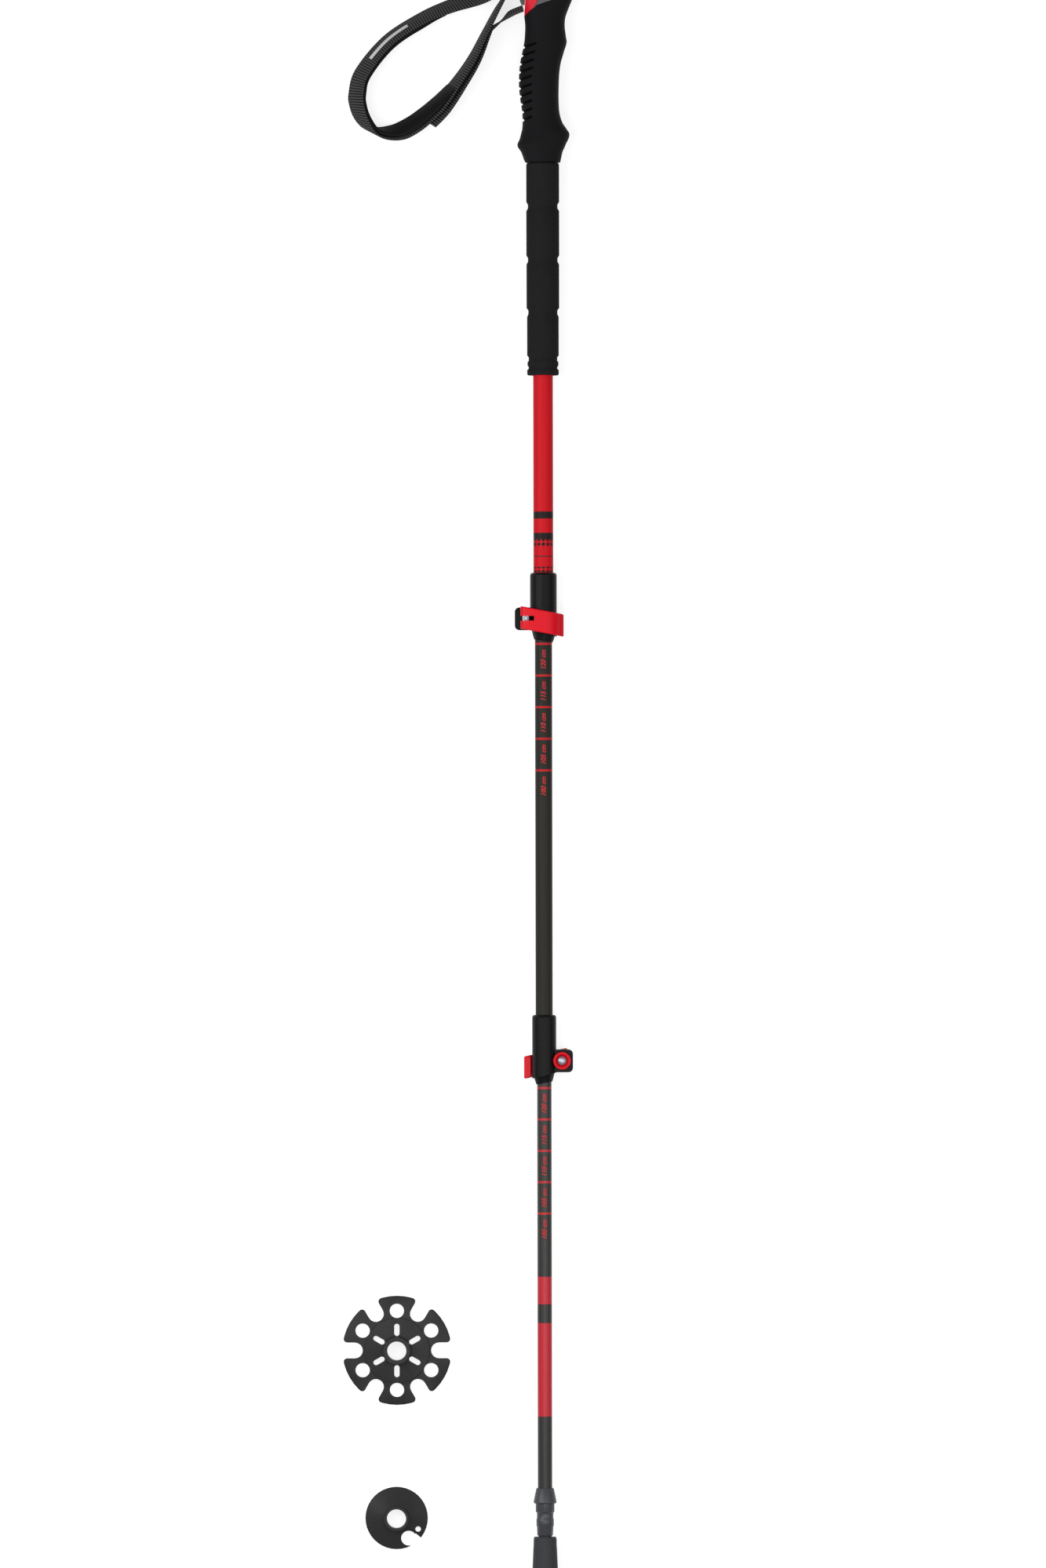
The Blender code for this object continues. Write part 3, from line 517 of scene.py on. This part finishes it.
# Heights over the foot, in the CAD node: the seam's two edges and the rim of the nose
SEAM_LOW, SEAM_HIGH, NOSE_RIM = 0.0283, 0.0293, 0.0018
SEAM_LINE = 0.00006
SEAM_NEAR, NEAR = 0.00005, 0.0001
# The slanted lip: its middle over the foot, its slope and the radius where the slope is taken
LIP_MIDDLE, LIP_SLANT, LIP_R = 0.0070, 0.245, 0.0095
# Walls over the bore: the least of an outer point, then the drawn-in foot and rim
OUTER_WALL, FOOT_WALL, RIM_WALL = 0.0005, 0.00045, 0.0007
# Drops below the lip, and how much of the lip's slant the foot follows
FOOT_DROP, RIM_DROP, FOOT_FOLLOWS = 0.0047, 0.0036, 0.5
# Levers: range of a slanted face's normal, and the barrel's axis and hole
SLANT_LOW, SLANT_HIGH = 0.97, 0.99
PIVOT_X, PIVOT_Z, PIVOT_HOLE = 0.01405, 0.0104, 0.0030


def collar_shape(side):
    """Places of a collar's points: seam a fine line, nose drawn in below the slanted lip."""
    foot, bore, hand = COLLARS[side]

    def place(point):
        up = point.y - foot
        out = math.hypot(point.x, point.z)
        outer = out > bore + OUTER_WALL
        if abs(up - SEAM_HIGH) < SEAM_NEAR:
            return Vector((point.x, foot + SEAM_LOW + SEAM_LINE, point.z))
        lip = LIP_MIDDLE - LIP_SLANT * hand * LIP_R * point.x / out
        if up < NEAR:
            wide = (bore + FOOT_WALL) / out if outer else 1.0
            height = foot + (lip - FOOT_DROP) * FOOT_FOLLOWS
            return Vector((point.x * wide, height, point.z * wide))
        if abs(up - NOSE_RIM) < NEAR and outer:
            wide = (bore + RIM_WALL) / out
            return Vector((point.x * wide, foot + lip - RIM_DROP, point.z * wide))
        return point

    return place


def lever_rim(line):
    """True on the outer rims of a lever's two slanted faces, but not round its barrel's hole."""
    slanted = [SLANT_LOW < abs(face.normal.y) < SLANT_HIGH for face in line.link_faces]
    if slanted.count(True) != 1:
        return False
    middle = (line.verts[0].co + line.verts[1].co) / 2.0
    hand = math.copysign(1.0, middle.z)
    return math.hypot(middle.x + hand * PIVOT_X, middle.z - hand * PIVOT_Z) > PIVOT_HOLE


# Pieces made from their CAD nodes, with the width of their rounded edges

for side in COLLARS:
    refined(side + "_collar", "collar", edge=0.0004, reshape=collar_shape(side))
    refined(side + "_lever", "red_metal", edge=0.0010, rim=lever_rim)
    refined(side + "_barrel", "bright", edge=0.0002)
    refined(side + "_saddle", "black", edge=0.0002)
    refined(side + "_bolt", "steel")
    refined(side + "_wheel", "red_metal", edge=0.0002)
refined("grip_cap", "grey", edge=0.0005)
refined("strap_wedge", "red_plastic", edge=0.0004)
refined("strap_pin", "steel", edge=0.0002)
refined("foam_grip", "foam")
refined("upper_tube", "upper_tube")
refined("mid_tube", "mid_tube")
refined("lower_tube", "lower_tube")
refined("mid_bush", "black")
refined("lower_bush", "black")
refined("tip_ferrule", "ferrule", edge=0.0002)
refined("tip_insert", "steel")
refined("tip_boot", "boot", edge=0.0003)
refined("snow_basket", "basket", edge=0.0004, source=rounded_basket())
refined("trekking_basket", "basket", edge=0.0004)


# Grip, finer than its CAD node: grooves in the rear

# Height, rear edge, front edge and half depth
GRIP_SECTIONS = (
    (1.1373, -0.0138, 0.0140, 0.0132),
    (1.1400, -0.0150, 0.0146, 0.0134),
    (1.1455, -0.0170, 0.0158, 0.0138),
    (1.1495, -0.0196, 0.0176, 0.0142),
    (1.1520, -0.0198, 0.0186, 0.0144),
    (1.1555, -0.0182, 0.0204, 0.0144),
    (1.1600, -0.0170, 0.0212, 0.0142),
    (1.1640, -0.0161, 0.0188, 0.0138),
    (1.1690, -0.0158, 0.0156, 0.0134),
    (1.1770, -0.0161, 0.0134, 0.0132),
    (1.1870, -0.0176, 0.0128, 0.0134),
    (1.1980, -0.0186, 0.0129, 0.0138),
    (1.2080, -0.0184, 0.0134, 0.0140),
    (1.2160, -0.0176, 0.0146, 0.0140),
    (1.2250, -0.0158, 0.0172, 0.0138),
    (1.2320, -0.0144, 0.0192, 0.0137),
    (1.2370, -0.0139, 0.0186, 0.0137),
    (1.2450, -0.0136, 0.0177, 0.0138),
    (1.2520, -0.0143, 0.0183, 0.0140),
    (1.2590, -0.0156, 0.0208, 0.0144),
    (1.2660, -0.0181, 0.0236, 0.0148),
    (1.2740, -0.0206, 0.0258, 0.0151),
)
GRIP_POWER = 0.86
GRIP_COLUMNS, GRIP_STEPS = 96, 420
# The seam under the cap: places across with their heights, and how its height is looked for
PARTING = ((-0.0300, 1.2399), (-0.0065, 1.2583), (-0.0048, 1.2603), (0.0400, 1.2753))
PARTING_GUESS, PARTING_TRIES = 1.2600, 12
BORE_R = 0.0081
BORE_END = 1.2492
GROOVE_TOP = 1.2310
GROOVE_PITCH = 0.00645
GROOVES = 10
GROOVE_SLOPE = 0.30
GROOVE_HALF = 0.0012
GROOVE_DEPTH = 0.0013
GROOVE_WALL = 0.5
GROOVE_RUN_OUT = 0.0015
# The grooves' inner ends: their place across, and how it shifts from a height over a run
GROOVE_INNER, INNER_SHIFT, SHIFT_FROM, SHIFT_RUN = -0.0078, 0.0034, 1.2050, 0.0270


def clamped(value):
    """A value held between 0 and 1."""
    return min(max(value, 0.0), 1.0)


def section_at(height):
    """Rear edge, front edge and half depth of the grip at a height, on a smooth curve."""
    rows = GRIP_SECTIONS
    index = 0
    while index < len(rows) - 2 and rows[index + 1][0] < height:
        index += 1
    low, high = rows[index], rows[index + 1]
    before = rows[max(index - 1, 0)]
    after = rows[min(index + 2, len(rows) - 1)]
    span = high[0] - low[0]
    t = clamped((height - low[0]) / span)
    made = []
    for item in (1, 2, 3):
        first = (high[item] - before[item]) / (high[0] - before[0]) * span
        second = (after[item] - low[item]) / (after[0] - low[0]) * span
        made.append(
            (2 * t ** 3 - 3 * t ** 2 + 1) * low[item]
            + (t ** 3 - 2 * t ** 2 + t) * first
            + (3 * t ** 2 - 2 * t ** 3) * high[item]
            + (t ** 3 - t ** 2) * second
        )
    return made


def groove_share(x, height):
    """How deep a point lies in the slanted grooves of the rear, from 0 to 1."""
    inner = GROOVE_INNER + INNER_SHIFT * clamped((height - SHIFT_FROM) / SHIFT_RUN)
    level = height + GROOVE_SLOPE * (inner - x)
    index = round((GROOVE_TOP - level) / GROOVE_PITCH)
    if x > inner or not 0 <= index < GROOVES:
        return 0.0
    off = abs(level - (GROOVE_TOP - GROOVE_PITCH * index))
    ends = min((inner - x) / GROOVE_RUN_OUT, 1.0)
    return ends * clamped((GROOVE_HALF - off) / (GROOVE_HALF * GROOVE_WALL))


def fuller(value):
    """Sine or cosine that makes a section a little fuller than an ellipse."""
    return math.copysign(abs(value) ** GRIP_POWER, value)


def grip_point(height, turn):
    """Point of the grip's skin, and its share of a groove."""
    rear, front, half = section_at(height)
    along = fuller(math.cos(turn))
    side = fuller(math.sin(turn))
    middle = (rear + front) / 2.0
    reach = (front - rear) / 2.0
    share = groove_share(middle + reach * along, height)
    sunk = GROOVE_DEPTH * share
    return (middle + (reach - sunk) * along, height, (half - sunk) * side), share


def parting_height(x):
    """Height of the seam under the cap at a distance across."""
    for (x0, y0), (x1, y1) in zip(PARTING, PARTING[1:]):
        if x <= x1:
            return y0 + (y1 - y0) * (x - x0) / (x1 - x0)
    return PARTING[-1][1]


def skinned(name, rows, closed=False):
    """Mesh over rows of points, capped at both ends or joined into a loop."""
    solid = bmesh.new()
    placed = [[solid.verts.new(point) for point in row] for row in rows]
    count = len(placed[0])
    last = len(placed) if closed else len(placed) - 1
    for index in range(last):
        low_row = placed[index]
        high_row = placed[(index + 1) % len(placed)]
        for step in range(count):
            after = (step + 1) % count
            solid.faces.new((low_row[step], low_row[after], high_row[after], high_row[step]))
    if not closed:
        solid.faces.new(placed[0])
        solid.faces.new(placed[-1])
    bmesh.ops.recalc_face_normals(solid, faces=solid.faces)
    return finished(name, solid)


def fine_grip():
    """Grip skin with its rear grooves, up to the seam under the cap, and the tube's bore."""
    bottom = GRIP_SECTIONS[0][0]
    turns = [2.0 * math.pi * column / GRIP_COLUMNS for column in range(GRIP_COLUMNS)]
    rows = []
    shares = []
    for height in (BORE_END, bottom):
        rows.append([(BORE_R * math.cos(turn), height, BORE_R * math.sin(turn)) for turn in turns])
        shares += [0.0] * GRIP_COLUMNS
    tops = []
    for turn in turns:
        top = PARTING_GUESS
        for _ in range(PARTING_TRIES):
            top = parting_height(grip_point(top, turn)[0][0])
        tops.append(top)
    for step in range(GRIP_STEPS + 1):
        row = []
        for turn, top in zip(turns, tops):
            point, share = grip_point(bottom + (top - bottom) * step / GRIP_STEPS, turn)
            row.append(point)
            shares.append(share)
        rows.append(row)
    mesh = skinned("look_grip_body", rows)
    sunk = mesh.attributes.new("sunk", 'FLOAT', 'POINT')
    sunk.data.foreach_set("value", shares)
    return mesh


show("look_grip_body", fine_grip(), "rubber", "upper_section", ("grip_body",),
     angle=GRIP_SMOOTH)


# Strap: ribbed webbing, smooth lining and doubled-back tail

# Far edge and near edge of the webbing, and the far edge's depth: the edges follow the photo,
# and what lies above its border is guessed
STRAP_EDGES = (
    ((-0.0400, 1.2752), (-0.0310, 1.2712), -0.0103),
    ((-0.0570, 1.2722), (-0.0460, 1.2630), -0.0118),
    ((-0.0758, 1.2661), (-0.0700, 1.2560), -0.0126),
    ((-0.0983, 1.2557), (-0.0932, 1.2468), -0.0128),
    ((-0.1259, 1.2377), (-0.1189, 1.2297), -0.0128),
    ((-0.1478, 1.2117), (-0.1377, 1.2059), -0.0128),
    ((-0.1532, 1.1929), (-0.1415, 1.1912), -0.0128),
    ((-0.1525, 1.1830), (-0.1408, 1.1808), -0.0128),
    ((-0.1490, 1.1738), (-0.1372, 1.1700), -0.0128),
    ((-0.1425, 1.1665), (-0.1306, 1.1598), -0.0128),
    ((-0.1330, 1.1628), (-0.1212, 1.1556), -0.0128),
    ((-0.1215, 1.1655), (-0.1090, 1.1558), -0.0128),
    ((-0.1110, 1.1700), (-0.0985, 1.1608), -0.0126),
    ((-0.1000, 1.1765), (-0.0885, 1.1683), -0.0122),
    ((-0.0860, 1.1872), (-0.0765, 1.1803), -0.0120),
    ((-0.0697, 1.2057), (-0.0632, 1.2008), -0.0120),
    ((-0.0578, 1.2225), (-0.0522, 1.2187), -0.0118),
    ((-0.0480, 1.2403), (-0.0435, 1.2374), -0.0114),
    ((-0.0381, 1.2581), (-0.0345, 1.2560), -0.0108),
    ((-0.0310, 1.2690), (-0.0288, 1.2677), -0.0105),
    ((-0.0275, 1.2778), (-0.0262, 1.2756), -0.0104),
)
STRAP_WIDTH = 0.0205
LINING_WIDTH = STRAP_WIDTH - 0.003
TAIL_WIDTH = STRAP_WIDTH - 0.002
STRAP_T, LINING_T, TAIL_T = 0.0016, 0.0034, 0.0014
STRAP_EDGE, LINING_EDGE, TAIL_EDGE = 0.0006, 0.0014, 0.0005
EDGE_FLAT = 0.35
LAYER_GAP = 0.0006
PIN = Vector((-0.0030, 1.2810, 0.0))
PIN_TURN_R = 0.0032
PIN_LEAD = 0.0130
PIN_STEP = 15
STEPS = 12
# The lining thins over its first and last stations to a share of its thickness
THIN_ENDS, END_SHARE = 12, 0.12
LINING_RUN = slice(2 * STEPS + 3, 14 * STEPS + 9)
TAIL_RUN = slice(13 * STEPS, 17 * STEPS + 5, 3)
TAIL_BOW = 0.0026
TAIL_SKEW = 0.0066
TAIL_UPRIGHT = Vector((-0.05, 0.14, 0.98)).normalized()
TAIL_END_STEPS = 6
# The tail leaves the loop before the first of these points, and the head holds the last
TAIL_END = (
    Vector((-0.0325, 1.2492, -0.0020)),
    Vector((-0.0262, 1.2543, -0.0010)),
    Vector((-0.0205, 1.2571, -0.0005)),
    Vector((-0.0151, 1.2591, 0.0)),
)


def spline(points, steps):
    """Smooth curve through points, a few steps between each pair."""
    made = []
    for index in range(len(points) - 1):
        before = points[max(index - 1, 0)]
        first = points[index]
        second = points[index + 1]
        after = points[min(index + 2, len(points) - 1)]
        for step in range(steps):
            t = step / steps
            made.append(0.5 * (
                2.0 * first
                + (second - before) * t
                + (2.0 * before - 5.0 * first + 4.0 * second - after) * t * t
                + (3.0 * first - before - 3.0 * second + after) * t * t * t
            ))
    made.append(points[-1])
    return made


def loop_stations():
    """Centre and width direction along the hand loop, then round the pin in the head."""
    far_edge, near_edge = [], []
    for (x0, y0), (x1, y1), depth in STRAP_EDGES:
        rise = math.sqrt(STRAP_WIDTH ** 2 - (x1 - x0) ** 2 - (y1 - y0) ** 2)
        far_edge.append(Vector((x0, y0, depth)))
        near_edge.append(Vector((x1, y1, depth + rise)))
    stations = []
    for first, second in zip(spline(far_edge, STEPS), spline(near_edge, STEPS)):
        across = (second - first).normalized()
        stations.append((first + across * (STRAP_WIDTH / 2.0), across))
    up = Vector((0.0, 0.0, 1.0))
    stations.append((PIN + Vector((-PIN_LEAD, PIN_TURN_R, 0.0)), up))
    for turn in range(90, -91, -PIN_STEP):
        angle = math.radians(turn)
        stations.append((PIN + PIN_TURN_R * Vector((math.cos(angle), math.sin(angle), 0.0)), up))
    stations.append((PIN + Vector((-PIN_LEAD, -PIN_TURN_R, 0.0)), up))
    return stations


def squared(stations, closed):
    """Add the direction square to the webbing, towards the inside of the loop."""
    made = []
    count = len(stations)
    for index, (centre, across) in enumerate(stations):
        ahead = (index + 1) % count if closed else min(index + 1, count - 1)
        behind = (index - 1) % count if closed else max(index - 1, 0)
        along = stations[ahead][0] - stations[behind][0]
        made.append((centre, across, across.cross(along).normalized()))
    return made


def band_profile(width, thick, edge):
    """Cross-section of a flat band with rounded edges: across and square to it."""
    half, deep = width / 2.0, thick / 2.0
    flat = deep * EDGE_FLAT
    return (
        (-half, -flat), (-half + edge, -deep), (0.0, -deep), (half - edge, -deep),
        (half, -flat), (half, flat), (half - edge, deep), (0.0, deep),
        (-half + edge, deep), (-half, flat),
    )


def band_mesh(name, stations, profile, closed=False, base=None):
    """Band along stations, with its own lengths along and across as a layout.

    With a base, the band lies on that height over the webbing and thins towards both ends.
    """
    rows = []
    last = len(stations) - 1
    deep = max(v for _, v in profile)
    for index, (centre, across, square) in enumerate(stations):
        full, lift = 1.0, 0.0
        if base is not None:
            full = min(min(index, last - index) / THIN_ENDS, 1.0)
            full = END_SHARE + (1.0 - END_SHARE) * math.sin(full * math.pi / 2.0)
            lift = base + deep * full
        rows.append([centre + across * u + square * (v * full + lift) for u, v in profile])
    mesh = skinned(name, rows, closed)
    lengths = [0.0]
    for index in range(1, len(stations)):
        lengths.append(lengths[-1] + (stations[index][0] - stations[index - 1][0]).length)
    count = len(profile)
    total = len(stations) * count
    layout = mesh.uv_layers.new(name="lengths")
    for face in mesh.polygons:
        own = [mesh.loops[item].vertex_index for item in face.loop_indices]
        wraps = closed and max(own) >= total - count and min(own) < count
        for item, vertex in zip(face.loop_indices, own):
            row, column = divmod(vertex, count)
            run = lengths[row]
            if wraps and row == 0:
                run = lengths[-1] + (stations[0][0] - stations[-1][0]).length
            layout.data[item].uv = (run, profile[column][0] + STRAP_WIDTH / 2.0)
    return mesh


def tail_stations(loop):
    """The tail bows off the outside of the loop, fans out beside it and ends in the head."""
    outside = STRAP_T / 2.0 + LAYER_GAP + TAIL_T / 2.0
    beside = []
    run = loop[TAIL_RUN]
    for index, (centre, across, square) in enumerate(run):
        share = index / (len(run) - 1)
        off = outside + TAIL_BOW * math.sin(math.pi * share)
        skew = TAIL_SKEW * (1.0 - share) ** 2
        beside.append((centre - square * off + across * skew, across))
    turned = (beside[-1][1] + TAIL_UPRIGHT).normalized()
    ends = [beside[-1], (TAIL_END[0], turned)]
    for point in TAIL_END[1:]:
        ends.append((point, TAIL_UPRIGHT))
    centres = spline([end[0] for end in ends], TAIL_END_STEPS)
    widths = spline([end[1] for end in ends], TAIL_END_STEPS)
    return beside[:-1] + [(centre, width.normalized()) for centre, width in zip(centres, widths)]


LOOP = squared(loop_stations(), True)
webbing = band_mesh("look_wrist_strap", LOOP, band_profile(STRAP_WIDTH, STRAP_T, STRAP_EDGE), True)
show("look_wrist_strap", webbing, "webbing", "strap", ("wrist_strap",),
     angle=STRAP_SMOOTH)

lining = band_mesh(
    "look_strap_lining", LOOP[LINING_RUN], band_profile(LINING_WIDTH, LINING_T, LINING_EDGE),
    base=STRAP_T / 2.0 + LAYER_GAP)
padding = show("look_strap_lining", lining, "lining", "strap", ("strap_lining",),
               angle=STRAP_SMOOTH)

# The tail bends from the last to the first point of its end, between the head and the loop
tail = band_mesh(
    "look_strap_tail", squared(tail_stations(LOOP), False),
    band_profile(TAIL_WIDTH, TAIL_T, TAIL_EDGE))
held_tail = show("look_strap_tail", tail, "webbing_plain", None, ("strap_tail",),
                 angle=STRAP_SMOOTH)
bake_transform(held_tail)


# Length labels printed along the two inner tubes

LABEL_SIZE = 0.0052
LABEL_SWELL = 0.00014
LABEL_SLANT = 0.25
LABEL_DROP = 0.0127
# The characters are cut into strips before they are wrapped
LABEL_STRIP, LABEL_CUTS = 0.0004, 6
MID_LABEL_R, LOWER_LABEL_R = 0.00680, 0.00575


def label(name, words, middle, radius, body):
    """Plain slanted characters wrapped on a tube, reading up the pole."""
    text = bpy.data.curves.new(name, 'FONT')
    text.body = words
    text.size = LABEL_SIZE
    text.offset = LABEL_SWELL
    text.shear = LABEL_SLANT
    text.align_x = 'CENTER'
    text.align_y = 'CENTER'
    holder = linked(name + "_text", text)
    graph = bpy.context.evaluated_depsgraph_get()
    flat = bmesh.new()
    flat.from_mesh(holder.evaluated_get(graph).to_mesh())
    bpy.data.objects.remove(holder, do_unlink=True)
    for step in range(-LABEL_CUTS, LABEL_CUTS + 1):
        everything = flat.verts[:] + flat.edges[:] + flat.faces[:]
        cut_at = (0.0, step * LABEL_STRIP, 0.0)
        bmesh.ops.bisect_plane(flat, geom=everything, plane_co=cut_at, plane_no=(0.0, 1.0, 0.0))
    for point in flat.verts:
        turn = point.co.y / radius
        point.co = Vector((-radius * math.sin(turn), middle + point.co.x, radius * math.cos(turn)))
    show(name, finished(name, flat), "label", body, ())


for step, length in enumerate(RING_CM):
    words = "%d cm" % length
    mid_height = MID_RINGS_TOP - MID_RING_PITCH * step - LABEL_DROP
    label("mid_label_%d" % length, words, mid_height, MID_LABEL_R, "mid_section")
    lower_height = LOWER_RINGS_TOP - LOWER_RING_PITCH * step - LABEL_DROP
    label("lower_label_%d" % length, words, lower_height, LOWER_LABEL_R,
          "lower_section")


# Floor, light and camera

WHITE = (1.0, 1.0, 1.0, 1.0)
FLOOR_Z = -0.0156
FLOOR_HALF = 15.0
FLOOR_DARK, FLOOR_LIGHT = (0.36, 0.36, 0.36), (0.38, 0.38, 0.38)
# Lit part and glow of the floor together make white, and the lit part keeps the shadow
FLOOR_GLOW = 0.76
WORLD_LEVEL = 0.30
# The photo shows 0.62 mm of the pole in a pixel, 1999 pixels along its longer side
PIXEL = 0.00062
LONG_SIDE = 1999.0
SENSOR = 36.0
EYE_X, EYE_Y, EYE_FAR = -0.0164, 0.646, 8.0
EYE_TURN_DEGREES = -0.107


def floor_material():
    """White floor with a glow that is seen, also in reflections, but lights nothing else."""
    made, tree, shader, place = new_look("floor_look")
    value = noise(tree, place, scale=3.0)
    colour = ramp(tree, value, FLOOR_DARK, FLOOR_LIGHT)
    tree.links.new(colour, shader.inputs["Base Color"])
    roughen(tree, shader, value, low=0.9, high=1.0)
    shader.inputs["Specular IOR Level"].default_value = 0.1
    rays = tree.nodes.new("ShaderNodeLightPath")
    seen = maths(tree, 'MAXIMUM', rays.outputs["Is Camera Ray"], rays.outputs["Is Glossy Ray"])
    seen = maths(tree, 'MAXIMUM', seen, rays.outputs["Is Transmission Ray"])
    glow = maths(tree, 'MULTIPLY', seen, FLOOR_GLOW)
    tree.links.new(glow, shader.inputs["Emission Strength"])
    shader.inputs["Emission Color"].default_value = WHITE
    return made


def area_light(name, place, aim, size, power):
    """Soft rectangular light aimed at a point."""
    lamp = bpy.data.lights.new(name, 'AREA')
    lamp.shape = 'RECTANGLE'
    lamp.size = size[0]
    lamp.size_y = size[1]
    lamp.energy = power
    thing = linked(name, lamp)
    thing.location = place
    aimed = Vector(aim) - Vector(place)
    thing.rotation_mode = 'QUATERNION'
    thing.rotation_quaternion = aimed.to_track_quat('-Z', 'Y')


floor_mesh = bpy.data.meshes.new("floor")
corners = [(-1, -1), (1, -1), (1, 1), (-1, 1)]
floor_points = [(x * FLOOR_HALF, y * FLOOR_HALF, FLOOR_Z) for x, y in corners]
floor_mesh.from_pydata(floor_points, [], [(0, 1, 2, 3)])
floor_mesh.materials.append(floor_material())
floor = linked("floor", floor_mesh)

scene = bpy.context.scene
world = bpy.data.worlds.new("studio")
scene.world = world
world.use_nodes = True
world.node_tree.nodes["Background"].inputs["Color"].default_value = WHITE
world.node_tree.nodes["Background"].inputs["Strength"].default_value = WORLD_LEVEL

area_light("left_soft", (-1.4, 0.9, 1.8), aim=(0.0, 0.65, 0.0), size=(0.9, 2.4), power=34.0)
area_light("right_soft", (1.1, 0.5, 2.2), aim=(0.0, 0.65, 0.0), size=(1.0, 2.6), power=22.0)
area_light("tip_soft", (0.0, 0.12, 1.4), aim=(0.0, 0.12, 0.0), size=(0.10, 0.45), power=3.0)

lens = bpy.data.cameras.new("photo_camera")
lens.sensor_width = SENSOR
lens.sensor_fit = 'AUTO'
lens.lens = EYE_FAR / PIXEL * SENSOR / LONG_SIDE
lens.clip_start = 0.05
lens.clip_end = 60.0
camera = linked("photo_camera", lens)
camera.location = (EYE_X, EYE_Y, EYE_FAR)
camera.rotation_euler = (0.0, 0.0, math.radians(EYE_TURN_DEGREES))
scene.camera = camera

scene.view_settings.view_transform = 'Standard'
